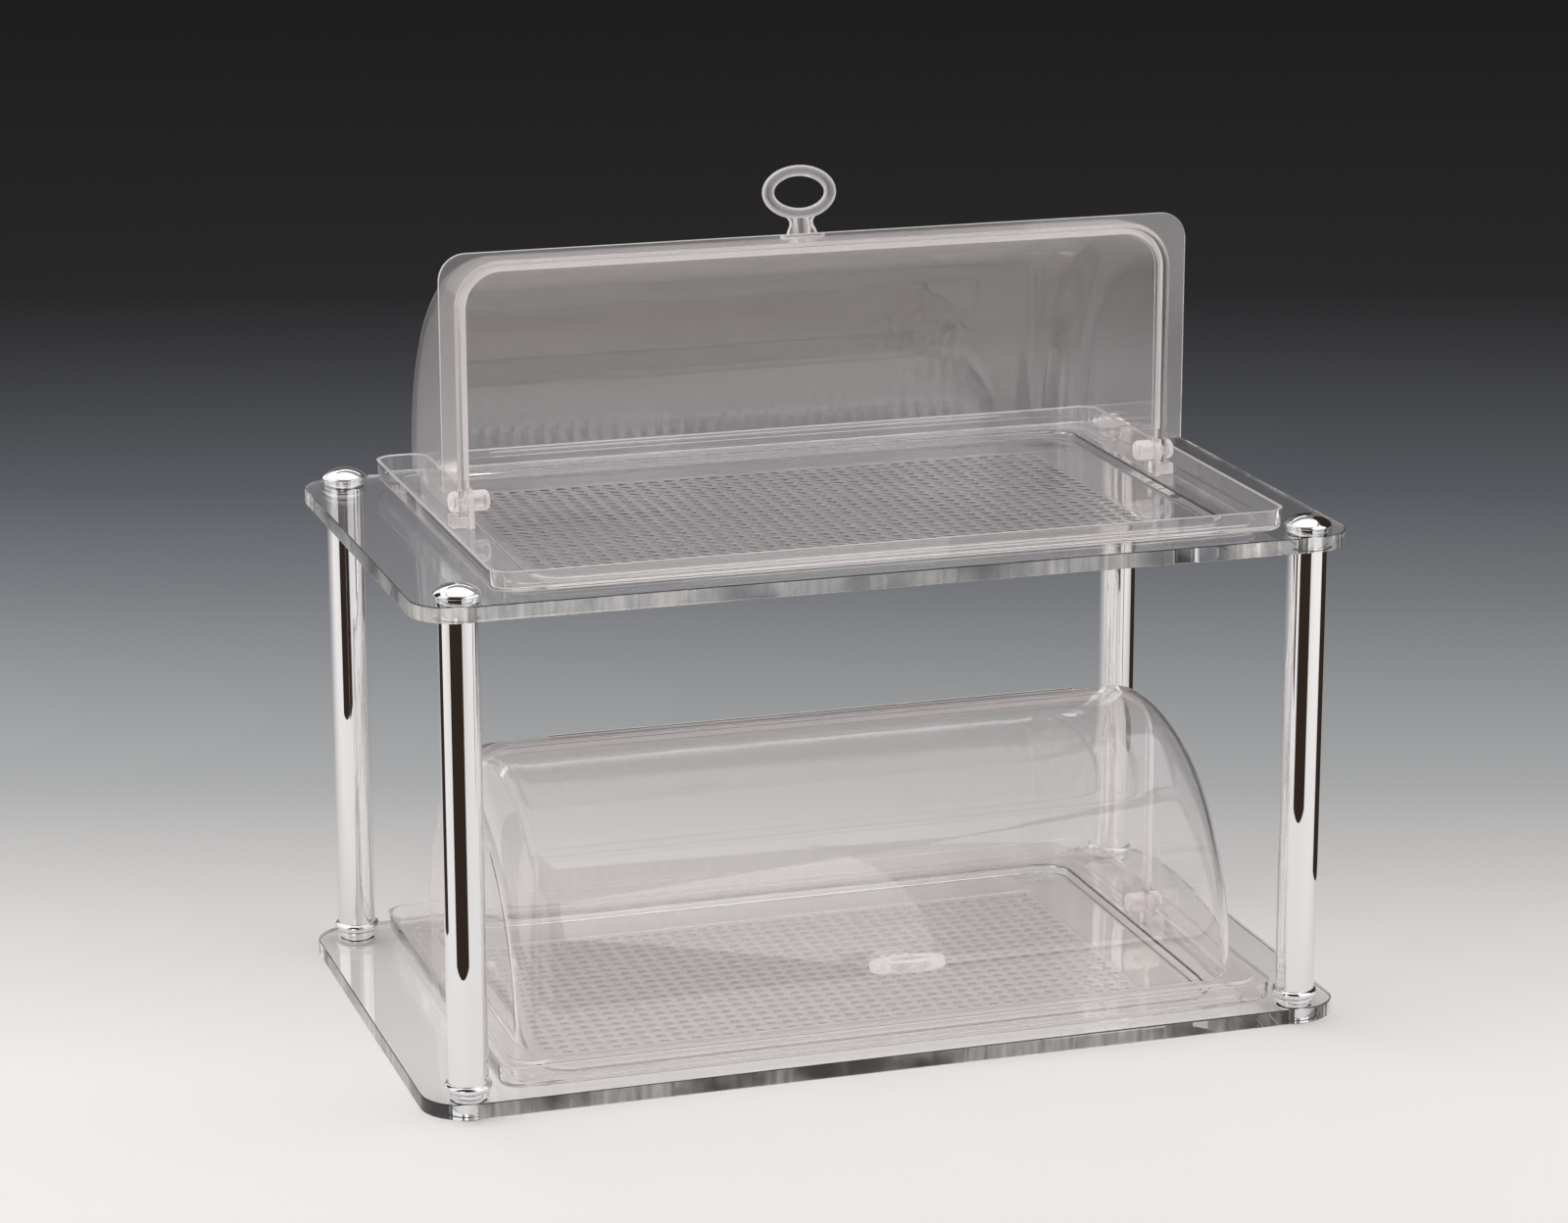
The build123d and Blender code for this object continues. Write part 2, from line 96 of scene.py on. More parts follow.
class Value:
    """A shader number; arithmetic on it adds Math nodes to its graph."""

    def __init__(self, graph: "Graph", socket: Socket) -> None:
        """Wraps the output socket of a node in the graph."""
        self.graph = graph
        self.socket = socket

    __add__, __radd__ = operator("ADD"), operator("ADD", True)
    __sub__, __rsub__ = operator("SUBTRACT"), operator("SUBTRACT", True)
    __mul__, __rmul__ = operator("MULTIPLY"), operator("MULTIPLY", True)
    __truediv__, __rtruediv__ = operator("DIVIDE"), operator("DIVIDE", True)
    __mod__, __rmod__ = operator("FLOORED_MODULO"), operator("FLOORED_MODULO", True)
    __pow__, __rpow__ = operator("POWER"), operator("POWER", True)
    __abs__, root, most = operator("ABSOLUTE"), operator("SQRT"), operator("MAXIMUM")

    def above(self, edge: float, blur: float) -> "Value":
        """A smooth step.

        Args:
            edge: Where the step's middle is.
            blur: How far the step reaches to each side.

        Returns:
            0 below the edge and 1 above it.
        """
        node = self.graph.node(
            "ShaderNodeMapRange",
            {"interpolation_type": "SMOOTHSTEP"},
            {0: self, 1: edge - blur, 2: edge + blur, 3: 0.0, 4: 1.0},
        )
        return Value(self.graph, node.outputs[0])


Number = Union[float, Value]
Socketed = Union[float, Sequence[float], Value, Socket]
Inputs = Mapping[Union[int, str], Socketed]


class Grain(Enum):
    """Stretched noises, by how many blotches fit in a metre along each axis."""

    FLOW = (9.0, 22.0, 14.0)
    SCRATCHES = (60.0, 900.0, 400.0)
    # The blotches of the painted lighter band low on the rear covers.
    PAINTED_LIGHT_BLOTCHES = (14.0, 14.0, 40.0)
    SAW_MARKS = (260.0, 260.0, 30.0)
    DRAWN_LINES = (700.0, 700.0, 12.0)


class Graph:
    """The node tree of a material or of the world."""

    def __init__(self, tree: bpy.types.NodeTree) -> None:
        """Takes over a tree and empties it."""
        self.tree = tree
        tree.nodes.clear()

    def node(
        self, kind: str, settings: Mapping[str, object] | None = None, inputs: Inputs | None = None
    ) -> bpy.types.Node:
        """Adds a node, sets it up and fills its inputs.

        Args:
            kind: Blender's type name.
            settings: The node's own settings; stops is a ramp's list of places and colours.
            inputs: A value or a link for each input, by name or number.

        Returns:
            The new node.
        """
        made = self.tree.nodes.new(kind)
        for name, setting in (settings or {}).items():
            if name == "stops":
                self._fill_ramp(made.color_ramp.elements, setting)
            else:
                setattr(made, name, setting)
        for key, given in (inputs or {}).items():
            if isinstance(given, Value):
                given = given.socket
            if isinstance(given, Socket):
                self.tree.links.new(given, made.inputs[key])
            else:
                made.inputs[key].default_value = given
        return made

    def result(self, kind: str, inputs: Inputs) -> Socket:
        """The first output of a new node, whose type name is ShaderNode and the kind."""
        return self.node(f"ShaderNode{kind}", inputs=inputs).outputs[0]

    def mix(self, share: Value, first: Socket, second: Socket) -> Socket:
        """A shader that goes from the first to the second as the share goes from 0 to 1."""
        return self.result("MixShader", {0: share, 1: first, 2: second})

    @staticmethod
    def _fill_ramp(elements: bpy.types.bpy_prop_collection, stops: Stops) -> None:
        """Puts the stops on a ramp, which has two to begin with.

        Args:
            elements: The ramp's stops, of which two are there.
            stops: What they become.
        """
        while len(elements) < len(stops):
            elements.new(1.0)
        for element, (place, colour) in zip(elements, stops):
            element.position = place
            element.color = (*linear(*colour), 1.0)

    def ramp(self, stops: Stops, share: Value) -> Socket:
        """The colour that a ramp with these stops has at a share."""
        return self.node("ShaderNodeValToRGB", {"stops": stops}, {0: share}).outputs[0]

    def place(self) -> Socket:
        """The point on the piece, in Object coordinates."""
        return self.node("ShaderNodeTexCoord").outputs["Object"]

    def axes(self, vector: Socket) -> tuple[Value, Value, Value]:
        """The three numbers of a vector."""
        split = self.node("ShaderNodeSeparateXYZ", inputs={0: vector})
        return tuple(Value(self, socket) for socket in split.outputs)

    def noise(self, vector: Socket, scale: float, detail: float = 2.0) -> Value:
        """Smooth noise round 0.5, with scale blotches in a metre and detail finer layers."""
        inputs = {"Vector": vector, "Scale": scale, "Detail": detail}
        return Value(self, self.result("TexNoise", inputs))

    def grain(self, grain: Grain, detail: float = 2.0) -> Value:
        """Noise round 0.5 that is stretched as the grain says."""
        stretched = self.result("Mapping", {"Vector": self.place(), "Scale": grain.value})
        return self.noise(stretched, 1.0, detail)

    def bump(self, height: Value, depth: float) -> Socket:
        """A normal that follows a height from 0 to 1, of which 1 measures the depth in metres."""
        return self.result("Bump", {"Height": height, "Distance": depth})


# ---- Finishes ----------------------------------------------------------------------------
@dataclass(frozen=True)
class Finish:
    """A material that is made of shader nodes.

    Attributes:
        name: The material's name.
    """

    name: str

    def material(self) -> bpy.types.Material:
        """Builds the finish.

        Returns:
            The new material.
        """
        made = bpy.data.materials.new(self.name)
        made.use_nodes = True
        graph = Graph(made.node_tree)
        graph.node("ShaderNodeOutputMaterial", inputs={"Surface": self.surface(graph)})
        return made

    def surface(self, graph: Graph) -> Socket:
        """The whole shader, which every kind of finish makes in its own way."""
        raise NotImplementedError


@dataclass(frozen=True)
class ClearFinish(Finish):
    """A clear plastic that bends light, with faint waves and a few fine scratches.

    Attributes:
        tint: What one wall lets through.
        ior: The plastic's index of refraction.
        haze: Its least roughness.
        wave: The height of the flow waves, in metres.
        veil: The share of light that the plastic scatters.
        painted_edge_highlight: The share of a pale shader painted over the plastic as a highlight
            where a surface is seen edge on, from 0 to 1.
        narrow: How narrow that painted highlight is.
        painted_low_light: A painted lighter band, in blotches, over the lower half of a cover, from
            0 to 1.
        painted_low_light_top: The height over its tier's lowest level where that painted band fades
            out, in metres.
        scratch: How much rougher the scratches are.
        pale: The colour of the pale shader that paints the highlight and the lighter band low on a
            cover.
        pale_roughness: The roughness of that pale shader.
    """

    tint: Colour
    ior: float
    haze: float
    wave: float
    veil: float
    # Painted highlight: the share of a pale shader mixed in where the surface is seen edge on.
    painted_edge_highlight: float = 0.0
    narrow: float = 3.0
    # Painted light: a lighter band, in blotches, low on a cover.
    painted_low_light: float = 0.0
    painted_low_light_top: float = 105.0 * MM
    scratch: float = 0.03
    pale: Display = (244, 238, 238)
    pale_roughness: float = 0.4

    def surface(self, graph: Graph) -> Socket:
        """The plastic, which lets the lamps' light straight through, with its edges.

        Args:
            graph: The material's graph.

        Returns:
            The whole shader.
        """
        scratches = graph.grain(Grain.SCRATCHES).above(0.66, 0.05)
        plastic = graph.result("BsdfPrincipled", {
            "Base Color": (*self.tint, 1.0),
            "Transmission Weight": 1.0 - self.veil,
            "IOR": self.ior,
            "Roughness": scratches * self.scratch + self.haze,
            "Normal": graph.bump(graph.grain(Grain.FLOW), self.wave),
        })
        shade = [(1.0 + share) / 2 for share in self.tint]
        through = graph.result("BsdfTransparent", {"Color": (*shade, 1.0)})
        rays = graph.node("ShaderNodeLightPath").outputs
        lamp_ray = Value(graph, rays["Is Shadow Ray"]).most(Value(graph, rays["Is Diffuse Ray"]))
        return self.finish_edges(graph, graph.mix(lamp_ray, plastic, through))

    def finish_edges(self, graph: Graph, clear: Socket) -> Socket:
        """Mixes a pale shader over what is seen edge on, as a painted highlight, and over a cover's
        lower half, as a painted lighter band.

        Args:
            graph: The material's graph.
            clear: The clear plastic's shader.

        Returns:
            The whole shader.
        """
        # Painted highlight: the pale shader is mixed in more, the more edge on the surface is seen.
        facing = graph.node("ShaderNodeLayerWeight").outputs["Facing"]
        share = Value(graph, facing) ** self.narrow * self.painted_edge_highlight
        # Painted light: a lighter band, in blotches, low on each tier's cover, fading out above its
        # top height.
        if self.painted_low_light:
            height = graph.axes(graph.place())[2] % TIER_RISE
            light_blotches = graph.grain(Grain.PAINTED_LIGHT_BLOTCHES) + 0.5
            share = share + (1.0 - height.above(self.painted_low_light_top, 50.0 * MM)) * light_blotches * self.painted_low_light
        pale = graph.result("BsdfPrincipled", {
            "Base Color": (*linear(*self.pale), 1.0),
            "Roughness": self.pale_roughness,
        })
        return graph.mix(share, clear, pale)


@dataclass(frozen=True)
class SheetFinish(ClearFinish):
    """Clear sheet whose sawn and polished edges gather light.

    Attributes:
        glow: The share of light that the edges scatter.
        saw_depth: The depth of the saw marks, in metres.
    """

    pale: Display = (236, 234, 231)
    pale_roughness: float = 0.5
    glow: float = 0.38
    saw_depth: float = 0.1 * MM

    def finish_edges(self, graph: Graph, clear: Socket) -> Socket:
        """Mixes a pale scatter with upright saw marks over the edges.

        Args:
            graph: The material's graph.
            clear: The clear sheet's shader.

        Returns:
            The whole shader.
        """
        _, _, up = graph.axes(graph.node("ShaderNodeNewGeometry").outputs["True Normal"])
        marks = graph.grain(Grain.SAW_MARKS, 1.0)
        patches = graph.noise(graph.place(), 16.0, 3.0).above(0.5, 0.12)
        edge = 1.0 - abs(up).above(0.5, 0.1)
        pale = graph.result("BsdfPrincipled", {
            "Base Color": (*linear(*self.pale), 1.0),
            "Roughness": self.pale_roughness,
            "Normal": graph.bump(marks, self.saw_depth),
        })
        return graph.mix(edge * (marks + 0.2) * (patches * 1.3 + 0.15) * self.glow, clear, pale)


@dataclass(frozen=True)
class ChromeFinish(Finish):
    """Mirror chrome with faint drawing lines and a few fingerprints.

    Attributes:
        colour: The metal's colour.
        roughness: Its least roughness.
        print_roughness: How much rougher the fingerprints are.
        line_depth: The depth of the drawing lines, in metres.
    """

    colour: Colour
    roughness: float
    print_roughness: float = 0.03
    line_depth: float = 0.004 * MM

    def surface(self, graph: Graph) -> Socket:
        """The metal's shader.

        Args:
            graph: The material's graph.

        Returns:
            The whole shader.
        """
        prints = graph.noise(graph.place(), 45.0, 3.0).above(0.62, 0.12)
        return graph.result("BsdfPrincipled", {
            "Base Color": (*self.colour, 1.0),
            "Metallic": 1.0,
            "Roughness": prints * self.print_roughness + self.roughness,
            "Normal": graph.bump(graph.grain(Grain.DRAWN_LINES), self.line_depth),
        })


@dataclass(frozen=True)
class PlainFinish(Finish):
    """A solid finish for the inner parts, with a mottled roughness.

    Attributes:
        colour: The surface's colour.
        metallic: 1 for metal and 0 for plastic.
        roughness: Its middle roughness.
    """

    colour: Colour
    metallic: float
    roughness: float

    def surface(self, graph: Graph) -> Socket:
        """The mottled solid's shader.

        Args:
            graph: The material's graph.

        Returns:
            The whole shader.
        """
        mottle = graph.noise(graph.place(), 120.0, 4.0) - 0.5
        return graph.result("BsdfPrincipled", {
            "Base Color": (*self.colour, 1.0),
            "Metallic": self.metallic,
            "Roughness": mottle * 0.2 + self.roughness,
        })


@dataclass(frozen=True)
class FloorFinish(Finish):
    """Pale floor whose colour darkens away from the display, as a painted pool of light.

    Attributes:
        stops: Distances from the display in metres, each with the floor's colour there.
        reach: A distance past the last stop.
        near: How far in front of the display's middle the distances start.
        front: How slowly it darkens toward the viewer, against 1 away from them.
        narrow: How slowly it darkens to the sides.
    """

    stops: Stops
    reach: float = 6.0
    near: float = 0.35
    front: float = 0.25
    narrow: float = 0.11

    def surface(self, graph: Graph) -> Socket:
        """The floor's shader, with the painted pool of light in its colour.

        Args:
            graph: The material's graph.

        Returns:
            The whole shader.
        """
        x, y, _ = graph.axes(graph.place())
        beyond = x * DEPTH_AXIS.x + y * DEPTH_AXIS.y + self.near
        depth = beyond.most(beyond * -self.front)
        side = (x * DEPTH_AXIS.y - y * DEPTH_AXIS.x) * self.narrow
        away = (depth * depth + side * side).root()
        stops = [(distance / self.reach, colour) for distance, colour in self.stops]
        return graph.result("BsdfPrincipled", {
            "Base Color": graph.ramp(stops, away / self.reach),
            "Roughness": 0.7,
            "Specular IOR Level": 0.15,
        })


@dataclass(frozen=True)
class CardFinish(Finish):
    """A card that mirrors show in one even colour.

    Attributes:
        colour: That colour.
    """

    colour: Display

    def surface(self, graph: Graph) -> Socket:
        """The even colour's shader."""
        return graph.result("Emission", {"Color": (*linear(*self.colour), 1.0)})


# ---- Modelling ---------------------------------------------------------------------------
@dataclass(frozen=True)
class Outline:
    """A level rounded rectangle about the bin's or the stand's middle.

    Attributes:
        half_x: Half its width.
        half_y: Half its depth.
        corner: The radius of its corners.
        z: Its height.
    """

    half_x: float
    half_y: float
    corner: float
    z: float

    def inward(self, side: float, front: float, corner: float, z: float) -> "Outline":
        """A smaller outline: in by side at its ends and by front along, with its own corner."""
        return Outline(self.half_x - side, self.half_y - front, corner, z)


class Workbench:
    """Shapes one mesh in edit mode, as by hand, about the piece's own origin."""

    ARC_FACETS = 10

    def __init__(self, name: str) -> None:
        """Takes the primitive that was just added and settles it.

        Args:
            name: The finished piece's name.
        """
        self.piece = bpy.context.active_object
        self.piece.name = name
        bpy.ops.object.transform_apply(location=True, rotation=True, scale=True)

    @staticmethod
    def clear() -> None:
        """Leaves edit mode and lets go of every object."""
        if bpy.context.mode == "EDIT_MESH":
            bpy.ops.object.mode_set(mode="OBJECT")
        bpy.ops.object.select_all(action="DESELECT")

    @classmethod
    def block(cls, name: str, low: Sequence[float], high: Sequence[float]) -> "Workbench":
        """Starts from a box between two corners.

        Args:
            name: The piece's name.
            low: Its least corner.
            high: Its greatest corner.

        Returns:
            The box's bench.
        """
        cls.clear()
        middle = [(a + b) / 2 for a, b in zip(low, high)]
        size = [b - a for a, b in zip(low, high)]
        bpy.ops.mesh.primitive_cube_add(size=1.0, location=middle, scale=size)
        return cls(name)

    @classmethod
    def end_block(cls, name: str, side: int, span: Pair, reach: float, rise: Pair) -> "Workbench":
        """Starts from a box at the left (-1) or right (1) end; reach is half its depth."""
        near, far = sorted(side * x for x in span)
        return cls.block(name, (near, -reach, rise[0]), (far, reach, rise[1]))

    @classmethod
    def bar(
        cls, name: str, radius: float, low: float, high: float, facets: int = 48, turn: float = 90.0
    ) -> "Workbench":
        """Starts from a round bar along the hinge axis, or upright with a turn of 0.

        Args:
            name: The piece's name.
            radius: Its radius.
            low: Where it starts on its axis.
            high: Where it ends.
            facets: How many sides it has.
            turn: How far it leans toward x, in degrees.

        Returns:
            The bar's bench.
        """
        cls.clear()
        angle, middle = math.radians(turn), (low + high) / 2
        bpy.ops.mesh.primitive_cylinder_add(
            vertices=facets, radius=radius, depth=high - low, rotation=(0.0, angle, 0.0),
            location=(middle, 0.0, 0.0) if turn else (0.0, 0.0, middle),
        )
        return cls(name)

    @classmethod
    def turned(cls, name: str, profile: Sequence[Pair]) -> "Workbench":
        """Builds a standing round piece from its outside profile.

        Args:
            name: The finished piece's name.
            profile: Radius and height of each ring, from the bottom up.

        Returns:
            The closed piece.
        """
        (radius, low), (second, high) = profile[0], profile[1]
        bench = cls.bar(name, radius, low, high, 64, 0.0)
        bench.edit()
        bench.pick("faces", lambda face: face.normal.z > FLAT)
        bench.resize((second / radius, second / radius, 1.0), (0.0, 0.0, high))
        for (last, z), (wide, top) in zip(profile[1:], profile[2:]):
            bench.extrude((0.0, 0.0, top - z))
            bench.resize((wide / last, wide / last, 1.0), (0.0, 0.0, top))
        return bench

    @classmethod
    def terraced(cls, name: str, outlines: Sequence[Outline]) -> "Workbench":
        """Builds a closed piece whose skin runs through level rounded outlines.

        Args:
            name: The finished piece's name.
            outlines: The outlines in the order in which the skin passes them.

        Returns:
            The closed piece.
        """
        first, second = outlines[0], outlines[1]
        bench = cls.block(
            name, (-first.half_x, -first.half_y, first.z), (first.half_x, first.half_y, second.z)
        )
        bench.edit()
        bench.pick("edges", lambda edge: abs(edge.verts[0].co.z - edge.verts[1].co.z) > SAME)
        bench.bevel(first.corner, cls.ARC_FACETS)
        bench.pick("faces", lambda face: face.normal.z > FLAT)
        bench.reshape(first, second)
        for last, following in zip(outlines[1:], outlines[2:]):
            bench.extrude((0.0, 0.0, following.z - last.z))
            bench.reshape(last, following)
        return bench

    def reshape(self, old: Outline, new: Outline) -> None:
        """Fits the selected ring, which lies on one outline, to another outline.

        Args:
            old: The outline that the ring has.
            new: The outline that it gets.
        """
        ring = self.picked()
        ratio = new.corner / old.corner
        for side, end in ((-1, -1), (-1, 1), (1, -1), (1, 1)):
            self.pick("verts", lambda v: v.index in ring and v.co.x * side > 0 and v.co.y * end > 0)
            centre = (side * (old.half_x - old.corner), end * (old.half_y - old.corner), new.z)
            wanted = (side * (new.half_x - new.corner), end * (new.half_y - new.corner))
            self.resize((ratio, ratio, 1.0), centre)
            self.move((wanted[0] - centre[0], wanted[1] - centre[1], 0.0))
        self.pick("verts", lambda vert: vert.index in ring)

    def picked(self) -> set[int]:
        """The numbers of the selected vertices."""
        return {vert.index for vert in bmesh.from_edit_mesh(self.piece.data).verts if vert.select}

    def edit(self) -> None:
        """Opens the piece in edit mode."""
        bpy.context.view_layer.objects.active = self.piece
        bpy.ops.object.mode_set(mode="EDIT")

    def close(self) -> None:
        """Goes back to object mode with only this piece selected."""
        self.clear()
        self.piece.select_set(True)
        bpy.context.view_layer.objects.active = self.piece

    def pick(self, kind: str, test: Callable[..., bool]) -> None:
        """Selects elements by their place or normal.

        Args:
            kind: verts, edges or faces.
            test: Says whether an element is wanted.
        """
        bpy.ops.mesh.select_mode(type=kind[:-1].upper())
        bpy.ops.mesh.select_all(action="DESELECT")
        mesh = bmesh.from_edit_mesh(self.piece.data)
        for element in getattr(mesh, kind):
            if test(element):
                element.select_set(True)
        if kind == "verts":
            mesh.select_flush(True)
        bmesh.update_edit_mesh(self.piece.data)

    def bevel(self, offset: float, facets: int) -> None:
        """Rounds the selected edges."""
        bpy.ops.mesh.bevel(offset=offset, segments=facets, affect="EDGES", clamp_overlap=False)

    def extrude(self, by: Sequence[float]) -> None:
        """Draws out what is selected."""
        bpy.ops.mesh.extrude_region_move(TRANSFORM_OT_translate={"value": by})

    def move(self, by: Sequence[float]) -> None:
        """Moves what is selected."""
        bpy.ops.transform.translate(value=by)

    def resize(self, by: Sequence[float], centre: Sequence[float]) -> None:
        """Scales what is selected about a point."""
        bpy.ops.transform.resize(value=by, center_override=centre)

    def inset(self, thickness: float, depth: float = 0.0) -> None:
        """Insets the selected faces, each by itself, and raises them by a depth."""
        bpy.ops.mesh.inset(thickness=thickness, depth=depth, use_individual=True)

    def pierce(self, axis: str, thickness: float) -> None:
        """Opens both ends of the piece.

        Args:
            axis: The direction of the hole: x, y or z.
            thickness: The wall that stays round it.
        """
        self.pick("faces", lambda face: abs(getattr(face.normal, axis)) > FLAT)
        self.inset(thickness)
        bpy.ops.mesh.bridge_edge_loops()

    def cut(
        self, axis: int, place: float, drop: int = 0, among: FaceTest = lambda face: True
    ) -> None:
        """Cuts some faces across an axis.

        Args:
            axis: 0 for x, 1 for y and 2 for z.
            place: Where on the axis the cut is.
            drop: 1 takes away what lies above the place, -1 what lies below, and 0 nothing.
            among: Which faces are cut.
        """
        self.pick("faces", among)
        along = Vector([float(other == axis) for other in range(3)])
        bpy.ops.mesh.bisect(
            plane_co=along * place, plane_no=along * (drop or 1),
            clear_outer=bool(drop), threshold=SAME,
        )

    def part(self, test: FaceTest) -> None:
        """Gives some faces a material slot of their own, after the ones that the piece has.

        Args:
            test: Says whether a face is one of them.
        """
        self.close()
        while not self.piece.material_slots:
            bpy.ops.object.material_slot_add()
        bpy.ops.object.material_slot_add()
        self.edit()
        self.pick("faces", test)
        bpy.ops.object.material_slot_assign()
        self.close()

    def modify(self, kind: str, **settings: object) -> None:
        """Adds a modifier and applies it.

        Args:
            kind: Blender's type name.
            **settings: The modifier's settings.
        """
        self.close()
        modifier = self.piece.modifiers.new(kind, kind)
        for name, setting in settings.items():
            setattr(modifier, name, setting)
        bpy.ops.object.modifier_apply(modifier=modifier.name)

    def wall(self, thickness: float) -> None:
        """Gives an open skin its thickness, inwards."""
        self.modify("SOLIDIFY", thickness=thickness, offset=-1.0, use_even_offset=True)

    def soften(self, width: float, facets: int = 2, angle: float = 40.0) -> None:
        """Rounds every edge that is sharper than an angle."""
        limit = math.radians(angle)
        self.modify("BEVEL", width=width, segments=facets, limit_method="ANGLE", angle_limit=limit)

    def combine(self, other: "Workbench", how: str) -> None:
        """Joins another piece on or cuts it out, and removes it.

        Args:
            other: The other piece.
            how: UNION or DIFFERENCE.
        """
        other.close()
        self.modify("BOOLEAN", object=other.piece, operation=how, solver="EXACT")
        other.scrap()

    def tidy(self, crease: float = 35.0) -> "Workbench":
        """Merges doubles, points the faces outwards, and smooths the rounds while flats stay flat.

        Args:
            crease: The angle past which an edge stays sharp.

        Returns:
            This bench.
        """
        self.close()
        bpy.ops.object.mode_set(mode="EDIT")
        bpy.ops.mesh.select_all(action="SELECT")
        bpy.ops.mesh.remove_doubles(threshold=SAME)
        bpy.ops.mesh.normals_make_consistent(inside=False)
        self.close()
        bpy.ops.object.shade_smooth_by_angle(angle=math.radians(crease))
        self.modify("WEIGHTED_NORMAL", keep_sharp=True)
        return self

    def place(self, at: Sequence[float], turn: float = 0.0) -> "Workbench":
        """Turns the piece about the hinge direction, moves it, and settles it.

        Args:
            at: Where the piece's own origin goes.
            turn: The turn about X in degrees.

        Returns:
            This bench.
        """
        self.close()
        self.piece.rotation_euler = (math.radians(turn), 0.0, 0.0)
        self.piece.location = at
        bpy.ops.object.transform_apply(location=True, rotation=True, scale=True)
        return self

    def copy(self, name: str, mirrored: bool = False) -> "Workbench":
        """Makes another piece with its own mesh.

        Args:
            name: The copy's name.
            mirrored: Whether left and right change places.

        Returns:
            The copy's bench.
        """
        self.close()
        twin = self.piece.copy()
        twin.data = self.piece.data.copy()
        bpy.context.scene.collection.objects.link(twin)
        self.clear()
        twin.select_set(True)
        bpy.context.view_layer.objects.active = twin
        if mirrored:
            twin.scale.x = -1.0
        bench = Workbench(name)
        return bench.tidy() if mirrored else bench

    def fit(
        self,
        node: str,
        body: str,
        slot: str,
        material: bpy.types.Material,
        others: Sequence[bpy.types.Material] = (),
    ) -> None:
        """Lets the piece stand for a node.

        Args:
            node: The node that it replaces.
            body: The body that it moves with.
            slot: The record's material slot, which is not used.
            material: Its finish.
            others: The finishes of the faces that have slots of their own.
        """
        self.close()
        if not self.piece.material_slots:
            self.piece.data.materials.append(material)
        for place, finish in enumerate((material, *others)):
            self.piece.material_slots[place].material = finish
        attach(self.piece, body)
        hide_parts(node)
        LOG.info("modelled %s in %s", self.piece.name, material.name)

    def scrap(self) -> None:
        """Removes a pattern piece once its copies are placed."""
        bpy.data.meshes.remove(self.piece.data)


def dress(node: str, material: bpy.types.Material) -> None:
    """Gives a carried-over node its finish.

    Args:
        node: The node's name.
        material: The finish for all its faces.
    """
    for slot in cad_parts[node].material_slots:
        slot.material = material
    LOG.info("dressed %s in %s", node, material.name)


def rounding(
    inner: float, outer: float, start: float, end: float, facets: int = 3
) -> list[Pair]:
    """A quarter round in a section.

    Args:
        inner: The first coordinate where the round starts.
        outer: The first coordinate where it ends.
        start: The height where it starts, running level.
        end: The height where it ends, running upright.
        facets: How many steps it has.

    Returns:
        The points of the round, both ends among them.
    """
    wide, tall = outer - inner, end - start
    angles = [math.pi / 2 * step / facets for step in range(facets + 1)]
    return [(inner + wide * math.sin(a), start + tall * (1 - math.cos(a))) for a in angles]


